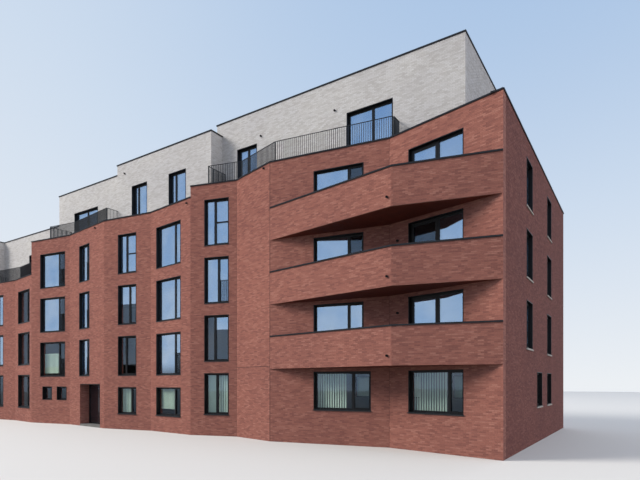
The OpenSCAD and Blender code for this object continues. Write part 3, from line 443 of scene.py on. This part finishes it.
# The soffit boards are far darker than the brick: painted shade under the balconies
shaded_soffit_board = plain_finish("soffit_painted_shade", rgb(106, 39, 21), rgb(93, 33, 18), 0.8, 3.0)
# Floors and ceilings are darker than their concrete: painted shade of the deep rooms
shaded_slab = plain_finish("concrete_floor_painted_shade", rgb(126, 124, 120), rgb(108, 106, 102), 0.9, 4.0)

dress(coping_metal, "parapet_copings", "roof_copings", "balcony_copings", "overflow_spouts")
dress(frame_metal, "window_frames_front", "window_frames_back", "entrance_frame", "entrance_door")
dress(railing_metal, *RAILINGS)
dress(window_glass, "window_glass_front", "window_glass_back")
dress(entrance_glass, "entrance_glass", "door_glass")
dress(pale_sill, "gable_sills")
dress(roof_skin, "upper_roof", "terrace_floor")
dress(shaded_slab, "ground_slab", "first_floor", "second_floor", "third_floor")

# Looks of the laid pieces
RED = (brick_finish("laid_red_bricks", RED_BRICK, laid=True), "red_brick")
# The laid gable bricks are the red brick in painted shade
SHADED_RED = (brick_finish("laid_gable_bricks_painted_shade", SHADED_GABLE_BRICK, laid=True), "red_brick")
WHITE = (brick_finish("laid_white_bricks", WHITE_BRICK, laid=True), "white_brick")
FRAME, COPING = (frame_metal, "frame_metal"), (coping_metal, "coping_metal")
RAILING = (railing_metal, "railing_metal")
HANDLES, BRIGHT, PAVED = (bright_metal, "railing_metal"), (bright_metal, None), (paver, "concrete")


# Laying of small pieces

def laying_tree():
    """Geometry Nodes that set a box on every point, of the point's own size and turn, as one plain mesh.
    Proud, the same for every box, is how far it stands out past that size on each side: along, deep and up."""
    tree = bpy.data.node_groups.new("laid_boxes", "GeometryNodeTree")
    for name, way, kind in (("Points", "INPUT", "Geometry"), ("Proud", "INPUT", "Vector"),
                            ("Finish", "INPUT", "Material"), ("Boxes", "OUTPUT", "Geometry")):
        tree.interface.new_socket(name, in_out=way, socket_type="NodeSocket" + kind)
    work = Nodes(tree)
    given = work.add("NodeGroupInput").outputs
    size, turn = [work.add("GeometryNodeInputNamedAttribute", {"Name": name}, data_type=kind)
                  for name, kind in (("size", "FLOAT_VECTOR"), ("turn", "FLOAT"))]
    grown = work.add("VectorMath", {0: given["Proud"], 1: (2, 2, 2), 2: size.outputs["Attribute"]},
                     operation="MULTIPLY_ADD")
    laid = work.add("GeometryNodeInstanceOnPoints", {
        "Points": work.add("GeometryNodeMeshToPoints", {"Mesh": given["Points"]}).outputs["Points"],
        "Instance": work.add("GeometryNodeMeshCube").outputs["Mesh"],
        "Rotation": work.add("CombineXYZ", {"Z": turn.outputs["Attribute"]}).outputs[0],
        "Scale": grown.outputs[0]})
    whole = work.add("GeometryNodeRealizeInstances", {"Geometry": laid.outputs["Instances"]})
    painted = work.add("GeometryNodeSetMaterial", {"Geometry": whole.outputs["Geometry"],
                                                   "Material": given["Finish"]})
    work.add("NodeGroupOutput", {0: painted.outputs["Geometry"]})
    return tree


LAYING = laying_tree()


def lay_boxes(name, boxes, look, body="building", proud=(0.0, 0.0, 0.0)):
    """One piece of many boxes, each ((x, y, z) middle, (along, deep, up) size, turn about z in radians)."""
    middles, sizes, turns = zip(*boxes)
    points = bpy.data.meshes.new(name + "_points")
    points.from_pydata(middles, [], [])
    tones = chance.random(len(boxes))
    for label, kind, field, values in (("size", "FLOAT_VECTOR", "vector", sizes),
                                       ("turn", "FLOAT", "value", turns), ("tone", "FLOAT", "value", tones)):
        stored = points.attributes.new(label, kind, "POINT")
        stored.data.foreach_set(field, np.array(values, np.float32).ravel())
    carrier = add_object(name + "_points", points)
    setter = carrier.modifiers.new("laying", "NODES")
    setter.node_group = LAYING
    wanted = {"Proud": proud, "Finish": look[0]}
    for item in LAYING.interface.items_tree:
        if item.name in wanted:
            setter[item.identifier] = wanted[item.name]
    mesh = bpy.data.meshes.new_from_object(carrier.evaluated_get(bpy.context.evaluated_depsgraph_get()))
    bpy.data.objects.remove(carrier)
    bpy.data.meshes.remove(points)
    set_piece(name, mesh, look, body)


# Bricks laid on the wall faces of the frame

# No length, the gap at which stretches still join, how far from upright a face may be, and the least plane
NO_LENGTH, JOINED, UPRIGHT, LEAST_PLANE = 1e-6, 0.001, 0.01, 0.15


class WallFace:
    """One upright plane of a frame node, seen from outside: u runs to the right and z up."""

    def __init__(self, normal, offset, triangles):
        self.normal, self.offset, self.triangles = normal, offset, triangles
        self.right = np.array([-normal[1], normal[0]])
        self.turn = math.atan2(self.right[1], self.right[0])
        self.levels = np.unique(triangles[:, :, 1].round(4))

    def spans(self, z):
        """The covered stretches of u at height z."""
        found = []
        for corners in self.triangles:
            cuts = []
            for (u0, z0), (u1, z1) in zip(corners, np.roll(corners, -1, axis=0)):
                if (z0 > z) != (z1 > z):
                    cuts.append(u0 + (u1 - u0) * (z - z0) / (z1 - z0))
            if len(cuts) == 2 and abs(cuts[0] - cuts[1]) > NO_LENGTH:
                found.append([min(cuts), max(cuts)])
        joined = []
        for span in sorted(found):
            if joined and span[0] <= joined[-1][1] + JOINED:
                joined[-1][1] = max(joined[-1][1], span[1])
            else:
                joined.append(span)
        return joined

    def point(self, u, z, out):
        """The place of (u, z), standing out of the wall."""
        at = self.right * u + self.normal * (self.offset + out)
        return (at[0], at[1], z)


def wall_faces(name, facing, low=0.0, least=LEAST_PLANE):
    """The planes of a node that look the way of facing, above a height."""
    mesh = cad[name].data
    groups = {}
    for face in mesh.polygons:
        normal = face.normal
        if abs(normal.z) > UPRIGHT or normal.x * facing[0] + normal.y * facing[1] < FACING:
            continue
        points = [mesh.vertices[i].co for i in face.vertices]
        key = (round(normal.x, 2), round(normal.y, 2), round(normal.dot(points[0]), 2))
        groups.setdefault(key, []).append((np.array(normal[:2]), points))
    faces = []
    for members in groups.values():
        normal = members[0][0] / np.linalg.norm(members[0][0])
        right = np.array([-normal[1], normal[0]])
        triangles = np.array([[(p.x * right[0] + p.y * right[1], max(p.z, low)) for p in points]
                              for _, points in members])
        area = np.abs(np.cross(triangles[:, 1] - triangles[:, 0], triangles[:, 2] - triangles[:, 0])).sum() / 2
        if area > least:
            offset = normal @ np.array(members[0][1][0][:2])
            faces.append(WallFace(normal, offset, triangles))
    return faces


def course_cells(start, end, course):
    """Perpends of a course between two ends, in stretcher bond, with no sliver at either end."""
    shift = 0.5 if course % 2 == 0 else 0.0
    first = math.ceil(start / BRICK_LENGTH + shift)
    last = math.floor(end / BRICK_LENGTH + shift)
    inner = [(k - shift) * BRICK_LENGTH for k in range(first, last + 1)]
    inner = [u for u in inner if start + SMALLEST_CUT < u < end - SMALLEST_CUT]
    return [start, *inner, end]


def brick_cells(face):
    """Bricks of a plane as (from, to, bottom, top), net of their joints and cut round the openings."""
    cells = []
    low, high = face.levels[0], face.levels[-1]
    half = JOINT / 2
    for course in range(math.floor(low / COURSE_HEIGHT), math.ceil(high / COURSE_HEIGHT)):
        bottom, top = course * COURSE_HEIGHT, (course + 1) * COURSE_HEIGHT
        steps = [z for z in face.levels if bottom + SMALLEST_STEP < z < top - SMALLEST_STEP]
        levels = [max(bottom, low), *steps, min(top, high)]
        open_cells = {}
        for z0, z1 in zip(levels, levels[1:]):
            z0 = z0 + half if z0 == bottom else z0
            z1 = z1 - half if z1 == top else z1
            current = {}
            for start, end in face.spans((z0 + z1) / 2):
                ends = course_cells(start, end, course)
                for a, b in zip(ends, ends[1:]):
                    key = (round(a + (half if a > start else 0), 4), round(b - (half if b < end else 0), 4))
                    current[key] = (open_cells[key][0] if key in open_cells else z0, z1)
            cells += [(*key, *zs) for key, zs in open_cells.items() if key not in current]
            open_cells = current
        cells += [(*key, *zs) for key, zs in open_cells.items()]
    return [c for c in cells if c[3] - c[2] > SMALLEST_HEIGHT and c[1] - c[0] > SMALLEST_CUT / 2]


def lay_bricks(name, faces, look):
    deep = BRICK_PROUD + BRICK_BEDDED
    boxes = []
    for face in faces:
        for a, b, z0, z1 in brick_cells(face):
            out = BRICK_PROUD + chance.uniform(-BRICK_UNEVEN, BRICK_UNEVEN)
            middle = face.point((a + b) / 2, (z0 + z1) / 2, out - deep / 2)
            boxes.append((middle, (b - a, deep, z1 - z0), face.turn))
    lay_boxes(name, boxes, look)


def faces_of(names, facing):
    return [face for name in names for face in wall_faces(name, facing)]


def outermost(name, facing):
    """The plane of a node that stands furthest out."""
    return [max(wall_faces(name, facing), key=lambda face: face.offset)]


# Sides of the entrance recess: their least area, their depth to the screen, and the levels they run between
JAMB_LEAST, JAMB_D = 1.3, 0.568
RECESS_LOW, RECESS_HIGH = 0.12, 2.59


def jamb(facing):
    """The side of the entrance recess that looks the way of facing, from the street to the screen."""
    face = wall_faces("front_wall_b3_piers", facing, low=RECESS_LOW, least=JAMB_LEAST)[0]
    along, up = face.triangles[..., 0], face.triangles[..., 1]
    if facing == GABLE:
        along = np.minimum(along, along.min() + JAMB_D)
    else:
        along = np.maximum(along, along.max() - JAMB_D)
    return WallFace(face.normal, face.offset, np.stack([along, np.minimum(up, RECESS_HIGH)], axis=-1))


for name, faces, look in (
        ("bricks_front_right", faces_of(FRONT_A, STREET), RED),
        ("bricks_front_middle", [*faces_of(FRONT_B, STREET), jamb(GABLE), jamb(LEFT)], RED),
        ("bricks_front_left", faces_of(FRONT_C, STREET), RED),
        # The gable's bricks carry painted shade in their tones
        ("bricks_gable", outermost("right_gable_wall", GABLE), SHADED_RED),
        ("bricks_balconies", faces_of(BALCONIES, STREET), RED),
        ("bricks_upper_front", faces_of(WHITE_FRONTS, STREET), WHITE),
        ("bricks_upper_side", outermost("upper_cross_walls", GABLE), WHITE)):
    lay_bricks(name, faces, look)


# Windows: sashes, beads, handles, sills, guards and blinds, set out from the panes of the frame

# From the glass to the edge of the opening, from its plane to the face of the wall, and half its thickness
FRAME_EDGE, REVEAL, HALF_GLASS = 0.080, 0.175, 0.012
POST_W, FRAME_SIGHT = 0.080, 0.050
SASH_W, WIDE_SASH, SASH_D = 0.035, 0.085, 0.034
BEAD_W, BEAD_D = 0.016, 0.014
TRANSOM_W = 0.06
SHEET = 0.004
# Corners of one pane that are the same, and panes that lie in one plane and at one height
SAME_CORNER, SAME_PLANE = 1e-5, 0.01


class Pane:
    """One sheet of glass: u runs to the right seen from outside, and out is the way it faces."""

    def __init__(self, corners):
        points = np.array(corners)
        self.low, self.high = points[:, 2].min(), points[:, 2].max()
        self.height = self.high - self.low
        self.middle = points.mean(0)
        plan = points[:, :2] - self.middle[:2]
        along = np.linalg.svd(plan)[2][0]
        out = np.array([along[1], -along[0]])
        self.out = out if out @ self.middle[:2] > 0 else -out
        self.right = np.array([-self.out[1], self.out[0]])
        self.turn = math.atan2(self.right[1], self.right[0])
        self.width = np.ptp(plan @ self.right)
        self.opens, self.sash = False, SASH_W

    def point(self, u, out, z):
        """A place by u from the pane's middle, out from its plane, and a height."""
        at = self.middle[:2] + self.right * u + self.out * out
        return (at[0], at[1], z)

    def box(self, u, out, z, size, turn=0.0):
        return (self.point(u, out, z), size, self.turn + turn)

    def ring(self, wide, deep, out):
        """Four bars round the edge of the pane."""
        side, span = self.width / 2 - wide / 2, self.width - 2 * wide
        middle = (self.low + self.high) / 2
        uprights = [self.box(u, out, middle, (wide, deep, self.height)) for u in (-side, side)]
        return uprights + [self.box(0, out, z, (span, deep, wide))
                           for z in (self.low + wide / 2, self.high - wide / 2)]

    def rings(self, wide, deep, middle):
        """Such bars on the outer and the inner side of the glass."""
        return self.ring(wide, deep, middle) + self.ring(wide, deep, -middle)


class Window:
    """The panes of one opening, left to right seen from outside. The right one opens."""

    def __init__(self, panes):
        self.panes = sorted(panes, key=lambda pane: pane.middle[:2] @ pane.right)
        self.left, self.right = self.panes[0], self.panes[-1]
        self.right.opens = True
        span = (self.right.middle - self.left.middle)[:2] @ self.left.right
        self.centre = (span - self.left.width / 2 + self.right.width / 2) / 2
        self.width = span + (self.left.width + self.right.width) / 2 + 2 * FRAME_EDGE
        self.low, self.high = self.left.low - FRAME_EDGE, self.left.high + FRAME_EDGE

    def box(self, u, out, z, size):
        return self.left.box(self.centre + u, out, z, size)


def panes_of(name):
    """Every sheet of glass in a node, found as its separate solids."""
    work = bmesh.new()
    work.from_mesh(cad[name].data)
    bmesh.ops.remove_doubles(work, verts=work.verts, dist=SAME_CORNER)
    left, found = set(work.verts), []
    while left:
        corners = [left.pop()]
        for corner in corners:
            joined = left.intersection(edge.other_vert(corner) for edge in corner.link_edges)
            left -= joined
            corners += joined
        found.append(Pane([tuple(corner.co) for corner in corners]))
    work.free()
    return sorted(found, key=lambda pane: tuple(pane.middle.round(2)))


def windows_of(name):
    """The windows of a glass node: panes at one height and in one plane, a mullion apart."""
    groups = []
    for pane in panes_of(name):
        for group in groups:
            near = group[-1]
            apart = pane.middle - near.middle
            in_plane = abs(apart[:2] @ near.out) < SAME_PLANE and abs(pane.low - near.low) < SAME_PLANE
            if in_plane and np.linalg.norm(apart[:2]) < (pane.width + near.width) / 2 + 2 * FRAME_EDGE:
                group.append(pane)
                break
        else:
            groups.append([pane])
    return [Window(group) for group in groups]


front_windows = windows_of("window_glass_front")
rear_windows = windows_of("window_glass_back")
# About where the windows of a bay lie along the street, and the middles of a section's rows of windows
BAY_X = {"a1": 17.2, "a2": 12.7, "a4": 5.5, "b1": 2.3, "b2": -1.3, "b3": -5.5, "b4": -9.1}
FLOOR_Z = {"a": (2.3, 4.9, 7.9, 10.9), "b": (1.7, 4.2, 7.2, 10.2)}


def window_at(bay, floor):
    """The front window nearest to a bay and floor."""
    x, z = BAY_X[bay], FLOOR_Z[bay[0]][floor]

    def away(window):
        return math.hypot(window.left.point(window.centre, 0, 0)[0] - x, (window.low + window.high) / 2 - z)

    return min(front_windows, key=away)


# Above the ground floor the right bay's left light opens instead, in a wide sash
for floor in (1, 2, 3):
    corner_window = window_at("a1", floor)
    corner_window.right.opens, corner_window.left.opens = False, True
    corner_window.left.sash = WIDE_SASH


def sash_bars(windows):
    """A sash on each light that opens, and glazing beads on the others, on both sides of the glass."""
    bars = []
    for pane in [pane for window in windows for pane in window.panes]:
        wide, deep = (pane.sash, SASH_D) if pane.opens else (BEAD_W, BEAD_D)
        bars += pane.rings(wide, deep, HALF_GLASS + deep / 2)
    return bars


# Plate, neck and lever of a handle: size, how far the middle is from the face of the sash, and how far down
HANDLE = (((0.026, 0.012, 0.14), 0.006, 0.0), ((0.014, 0.030, 0.014), 0.025, 0.0),
          ((0.020, 0.014, 0.13), 0.045, 0.055))
GRIP_UP = 1.05


def window_handles(windows):
    """A handle on the room side of each light that opens."""
    parts = []
    for pane in [pane for window in windows for pane in window.panes if pane.opens]:
        grip = pane.low + min(GRIP_UP, pane.height / 2)
        edge = (SASH_W - pane.width) / 2
        face = -HALF_GLASS - SASH_D
        parts += [pane.box(edge, face - behind, grip - down, size) for size, behind, down in HANDLE]
    return parts


# How far a metal sill runs in under its window, and the height of the stop at either end
SILL_IN, SILL_STOP = 0.02, 0.018


def drip_sills(windows, proud, lip, over):
    """A folded metal sill under each window, with a turned-down lip and a stop at either end."""
    parts = []
    for window in windows:
        wide, z = window.width + 2 * over, window.low - SHEET / 2
        out, front = REVEAL + proud / 2, REVEAL + proud
        parts += [window.box(0, out - SILL_IN / 2, z, (wide, proud + SILL_IN, SHEET)),
                  window.box(0, front - SHEET / 2, z - lip / 2, (wide, SHEET, lip)),
                  *[window.box(side * (wide - SHEET) / 2, out, z, (SHEET, proud, SILL_STOP))
                    for side in (-1, 1)]]
    return parts


lay_boxes("window_sashes_front", sash_bars(front_windows), FRAME)
lay_boxes("window_sashes_rear", sash_bars(rear_windows), FRAME)
lay_boxes("window_handles", window_handles(front_windows + rear_windows), HANDLES)

# The sills of the ground storey lie below the first height at the front and the second at the rear, those of
# all the red storeys below the third. The two narrow windows of the ground storey have no metal sill.
FRONT_GROUND, REAR_GROUND, RED_STOREYS = 2.0, 3.0, 9.9
NARROW = 1.0
street_low = [w for w in front_windows if w.low < FRONT_GROUND and w.width > NARROW]
street_high = [w for w in front_windows if FRONT_GROUND < w.low < RED_STOREYS]
garden_windows = [w for w in rear_windows if w.left.out[1] > FACING and w.low < RED_STOREYS]
garden_ground = [w for w in rear_windows if w.low < REAR_GROUND]
lay_boxes("window_sills_ground", drip_sills(street_low, proud=0.045, lip=0.030, over=0.030), RAILING)
lay_boxes("window_sills_upper", drip_sills(street_high + garden_windows, proud=0.022, lip=0.018, over=0.012),
          RAILING)


BLIND_T, BLIND_STEP, BLIND_BEHIND, BLIND_RAIL = 0.002, 0.115, 0.10, 0.04
# Width, turn and uneven turn of a louvre, with the blind ajar and with it closed
AJAR, CLOSED = (0.100, -22.0, 5.0), (0.127, -14.0, 0.0)


def blind(pane, state, bottom=0.0, top=1.0, across=1.0):
    """Upright louvres behind a pane, between shares of its height, from its left end, hung from a rail."""
    wide, angle, uneven = state
    count = max(2, round(across * pane.width / BLIND_STEP))
    low, high = pane.low + bottom * pane.height, pane.low + top * pane.height
    slats = [pane.box(pane.width * (across * (i + 0.5) / count - 0.5), -BLIND_BEHIND, (low + high) / 2,
                      (wide, BLIND_T, high - low), math.radians(angle + chance.uniform(-uneven, uneven)))
             for i in range(count)]
    rail = pane.box(0, -BLIND_BEHIND, high + BLIND_RAIL / 2, (pane.width, BLIND_RAIL, BLIND_RAIL))
    return [*slats, rail]


lay_boxes("window_blinds", [
    *blind(window_at("a1", 0).left, AJAR), *blind(window_at("a2", 0).left, AJAR, across=0.82),
    *blind(window_at("a4", 0).left, CLOSED), *blind(window_at("a4", 0).right, CLOSED),
    *blind(window_at("b1", 0).left, CLOSED, bottom=0.2), *blind(window_at("b2", 0).left, CLOSED),
    *blind(window_at("b4", 1).left, CLOSED, bottom=0.06, top=0.66),
    *[slat for window in garden_ground for pane in window.panes for slat in blind(pane, CLOSED)]],
    (blind_fabric, None))


GUARD_UP, GUARD_DOWN, GUARD_BEHIND, GUARD_STEP = 1.08, 0.02, 0.090, 0.105
BAR_T, BAR_D = 0.010, 0.045
GUARDED = [("b4", 1), ("b4", 2), ("b4", 3), ("b3", 1), ("b3", 2), ("b3", 3), ("b1", 1), ("a4", 2)]
WITH_TRANSOM = [("a4", 3), ("b2", 3)]


def guard(pane):
    """A guard of flat upright bars between two rails, across the lower part of a light and its post."""
    out, wide = REVEAL - GUARD_BEHIND, pane.width + POST_W + FRAME_SIGHT
    middle = (FRAME_SIGHT - POST_W) / 2
    bottom, top = pane.low - GUARD_DOWN, pane.low + GUARD_UP
    count = max(2, round(wide / GUARD_STEP))
    bars = [pane.box(middle + wide * (i / count - 0.5), out, (bottom + top) / 2, (BAR_T, BAR_D, top - bottom))
            for i in range(1, count)]
    rails = [pane.box(middle, out, z, (wide, BAR_D, BAR_T)) for z in (bottom, top)]
    return bars + rails


def transom(pane):
    """A bar across the middle of a light, on both sides of the glass."""
    return [pane.box(0, side * (HALF_GLASS + SASH_D / 2), pane.low + pane.height / 2,
                     (pane.width, SASH_D, TRANSOM_W)) for side in (-1, 1)]


lay_boxes("window_guards", [bar for place in GUARDED for bar in guard(window_at(*place).right)], RAILING)
lay_boxes("window_transoms", [bar for place in WITH_TRANSOM for bar in transom(window_at(*place).right)],
          FRAME)


# Copings: a cover over every joint between two lengths

COPING_LENGTH, SHORT_COPING = 2.4, 1.0
COVER_W, COVER_PROUD = 0.045, 0.002
# Edges of a coping are lower than the first value, and their planes larger than the second, in square metres
COPING_EDGE, LEAST_EDGE = 0.07, 0.01
COPING_WIDTHS = {"parapet_copings": 0.470, "roof_copings": 0.420, "balcony_copings": 0.322}


def coping_covers(name, width):
    """Covers astride a coping, found from its outer edges."""
    covers, ways = [], (STREET, GABLE, GARDEN, LEFT)
    for face in [face for way in ways for face in wall_faces(name, way, least=LEAST_EDGE) if face.offset >= 0]:
        for low, high in zip(face.levels, face.levels[1:]):
            for start, end in face.spans((low + high) / 2):
                if high - low > COPING_EDGE or end - start < SHORT_COPING:
                    continue
                count = max(1, round((end - start) / COPING_LENGTH))
                for u in [start + (end - start) * i / count for i in range(1, count)]:
                    middle = face.point(u, (low + high) / 2, -width / 2)
                    covers.append((middle, (COVER_W, width, high - low), face.turn))
    return covers


lay_boxes("coping_covers", [cover for coping in COPING_WIDTHS.items() for cover in coping_covers(*coping)],
          COPING, proud=(0.0, COVER_PROUD, COVER_PROUD))


# Movement joints of the brickwork: upright in the folds of the right section, level above its ground floor

SEAL_W, SEAL_D, SEAL_OUT = 0.020, 0.020, 0.005
LEVEL_JOINT = 3.45


def street_plane(name):
    """The widest plane of a wall that faces the street."""
    return max(wall_faces(name, STREET), key=lambda face: np.ptp(face.triangles[:, :, 0]))


def upright_seal(first, second):
    """A seal in the fold where two walls meet."""
    first, second = street_plane(first), street_plane(second)
    top = min(first.levels[-1], second.levels[-1])
    outward = (first.normal + second.normal) / 2
    corner = np.linalg.solve([first.normal, second.normal], [first.offset, second.offset])
    x, y = corner + outward * (SEAL_OUT - SEAL_D / 2)
    return ((x, y, top / 2), (SEAL_W, SEAL_D, top), (first.turn + second.turn) / 2)


def level_seal(name, height):
    face = street_plane(name)
    start, end = face.triangles[:, :, 0].min(), face.triangles[:, :, 0].max()
    middle = face.point((start + end) / 2, height, SEAL_OUT - SEAL_D / 2)
    return (middle, (end - start, SEAL_D, SEAL_W), face.turn)


lay_boxes("movement_joints", [*[upright_seal(*pair) for pair in zip(FRONT_A, FRONT_A[1:])],
                              level_seal("front_wall_a3", LEVEL_JOINT)], (joint_seal, None))


# Plates laid on or under the level faces of the frame, cut from their outline

# Distance from a height that still counts, angle of an edge that is no corner (radians), least plate in square
# metres, and how near a cut joins a corner
AT_HEIGHT, NO_CORNER, LEAST_PLATE, CUT_JOINS = 0.01, 0.01, 0.004, 1e-4


def level_outline(node, height, way, margin):
    """The level faces of a node at a height that look up (1) or down (-1), less a margin all round."""
    work = bmesh.new()
    work.from_mesh(cad[node].data)
    spare = [f for f in work.faces
             if f.normal.z * way < LEVEL or abs(f.calc_center_median().z - height) > AT_HEIGHT]
    bmesh.ops.delete(work, geom=spare, context="FACES")
    bmesh.ops.dissolve_limit(work, angle_limit=NO_CORNER, verts=work.verts, edges=work.edges)
    rim = bmesh.ops.inset_region(work, faces=work.faces, thickness=margin, use_even_offset=True,
                                 use_boundary=True)
    bmesh.ops.delete(work, geom=rim["faces"], context="FACES")
    return work


def cut_in_cells(work, cell, gap):
    """Cuts faces into a grid of cells (along x, along y) and opens a gap between them."""
    for axis, step in enumerate(cell):
        reach = [v.co[axis] for v in work.verts]
        along = Vector([float(i == axis) for i in range(3)])
        for k in range(math.floor(min(reach) / step) + 1, math.ceil(max(reach) / step)):
            bmesh.ops.bisect_plane(work, geom=[*work.verts, *work.edges, *work.faces], dist=CUT_JOINS,
                                   plane_co=along * (k * step), plane_no=along)
    rim = bmesh.ops.inset_individual(work, faces=[f for f in work.faces if f.calc_area() > LEAST_PLATE],
                                     thickness=gap / 2, use_even_offset=True)
    spare = {*rim["faces"], *[f for f in work.faces if f.calc_area() < LEAST_PLATE]}
    bmesh.ops.delete(work, geom=list(spare), context="FACES")


def plates(name, look, regions, angle, cell, gap, thick, margin):
    """Plates of cell (along, across) set at angle over each (node, height, way up) region, with open gaps."""
    corners, sides = [], []
    turned = Matrix.Rotation(-angle, 3, "Z")
    for node, height, way in regions:
        work = level_outline(node, height, way, margin)
        bmesh.ops.rotate(work, verts=work.verts, matrix=turned)
        cut_in_cells(work, cell, gap)
        bmesh.ops.rotate(work, verts=work.verts, matrix=turned.transposed())
        for face in work.faces:
            low = [tuple(v.co) for v in face.verts]
            high = [(x, y, z + way * thick) for x, y, z in low]
            count, first = len(low), len(corners)
            corners += low + high
            sides.append([first + i for i in reversed(range(count))])
            sides.append([first + count + i for i in range(count)])
            sides += [[first + i, first + (i + 1) % count, first + count + (i + 1) % count, first + count + i]
                      for i in range(count)]
        work.free()
    mesh = bpy.data.meshes.new(name)
    mesh.from_pydata(corners, [], sides)
    set_piece(name, mesh, look, "building")


ROOFS = sorted({round(face.center.z, 3) for face in cad["upper_roof"].data.polygons if face.normal.z > LEVEL})
balcony_turn = street_plane("lower_balcony").turn
plates("terrace_pavers", PAVED, [("terrace_floor", height, 1) for height in TERRACES.values()],
       angle=0.0, cell=(0.60, 0.60), gap=0.006, thick=0.030, margin=0.10)
plates("balcony_pavers", PAVED, [(node, height, 1) for node, (_, height) in BALCONIES.items()],
       angle=balcony_turn, cell=(0.40, 0.40), gap=0.005, thick=0.025, margin=0.03)
# Their dark colour is painted shade under the balconies
plates("balcony_soffit_boards", (shaded_soffit_board, None),
       [(node, height, -1) for node, (height, _) in BALCONIES.items()],
       angle=balcony_turn, cell=(1.20, 4.0), gap=0.010, thick=0.006, margin=0.060)
plates("roof_sheets", (roof_skin, "roof_finish"), [("upper_roof", height, 1) for height in ROOFS],
       angle=0.0, cell=(1.05, 6.0), gap=0.012, thick=0.004, margin=0.02)


# Round and turned parts, and the feet of the railings

def rods(name, bars, look, body="building", sides=20):
    """One piece of many round bars, each (from, to, radius)."""
    work = bmesh.new()
    for start, end, radius in bars:
        axis, middle = Vector(end) - Vector(start), (Vector(start) + Vector(end)) / 2
        turned = axis.to_track_quat("Z", "Y").to_matrix().to_4x4()
        bmesh.ops.create_cone(work, cap_ends=True, segments=sides, radius1=radius, radius2=radius,
                              depth=axis.length, matrix=Matrix.Translation(middle) @ turned)
    mesh = bpy.data.meshes.new(name)
    work.to_mesh(mesh)
    work.free()
    set_piece(name, mesh, look, body)


# Side and thickness of a base plate, how near the lowest corners of a railing are, and those of one post
FOOT, FOOT_T, FOOT_NEAR, POST_NEAR = 0.095, 0.008, 0.02, 0.09
BOLT_R, BOLT_H, BOLT_IN, BOLT_SUNK = 0.008, 0.012, 0.030, 0.002


def railing_feet(name):
    """Middles of the posts, from the lowest corners of a railing."""
    points = np.array([v.co for v in cad[name].data.vertices])
    posts = []
    for point in points[points[:, 2] < points[:, 2].min() + FOOT_NEAR]:
        near = [post for post in posts if np.hypot(*(np.mean(post, 0) - point)[:2]) < POST_NEAR]
        if near:
            near[0].append(point)
        else:
            posts.append([point])
    return [np.mean(post, 0) for post in posts]


feet = [foot for name in RAILINGS for foot in railing_feet(name)]
lay_boxes("railing_base_plates", [((x, y, z + FOOT_T / 2), (FOOT, FOOT, FOOT_T), 0.0) for x, y, z in feet],
          RAILING)
rods("railing_bolts", [((x + i * BOLT_IN, y + j * BOLT_IN, z + FOOT_T - BOLT_SUNK),
                        (x + i * BOLT_IN, y + j * BOLT_IN, z + FOOT_T + BOLT_H), BOLT_R)
                       for x, y, z in feet for i in (-1, 1) for j in (-1, 1)], BRIGHT, sides=6)


# Entrance: beads, kick plates, a sleeve on the pull and a lock on the leaf, and beads on the screen

leaf, screen = panes_of("door_glass")[0], panes_of("entrance_glass")[0]
LEAF_FACE, LEAF_GAP, LEAF_BEAD_W, STILE_W = 0.030, 0.006, 0.018, 0.110
# A kick plate: how far it is proud, below the glass and wider than the glass, its thickness and its height
KICK_PROUD, KICK_DOWN, KICK_OVER, KICK_T, KICK_H = 0.001, 0.09, 0.12, 0.003, 0.13
PULL_OUT, PULL_H, PULL_R, SLEEVE = 0.060, 0.900, 0.016, 0.0006
LOCK_DOWN, LOCK_SUNK, LOCK_PROUD, LOCK_R = 0.10, 0.002, 0.006, 0.016
door_heights = [corner.co.z for corner in cad["entrance_door"].data.vertices]
leaf_middle = (min(door_heights) + max(door_heights)) / 2 - LEAF_GAP
stile = -(leaf.width + STILE_W) / 2
sleeve_half = PULL_H / 2 + SLEEVE
lock = leaf_middle - LOCK_DOWN

lay_boxes("door_glazing_beads", leaf.rings(LEAF_BEAD_W, LEAF_FACE - HALF_GLASS, (LEAF_FACE + HALF_GLASS) / 2),
          FRAME, "door_leaf")
lay_boxes("door_kick_plates", [leaf.box(0, side * (LEAF_FACE + KICK_PROUD), leaf.low - KICK_DOWN,
                                        (leaf.width + KICK_OVER, KICK_T, KICK_H)) for side in (-1, 1)],
          BRIGHT, "door_leaf")
ends = [leaf.point(stile, LEAF_FACE + PULL_OUT, leaf_middle + side * sleeve_half) for side in (-1, 1)]
rods("door_pull_sleeve", [(*ends, PULL_R + SLEEVE)], BRIGHT, "door_leaf", sides=32)
rods("door_lock_cylinders", [(leaf.point(stile, side * (LEAF_FACE - LOCK_SUNK), lock),
                              leaf.point(stile, side * (LEAF_FACE + LOCK_PROUD), lock), LOCK_R)
                             for side in (-1, 1)], BRIGHT, "door_leaf")
lay_boxes("entrance_screen_beads", screen.rings(BEAD_W, BEAD_D, HALF_GLASS + BEAD_D / 2), FRAME)
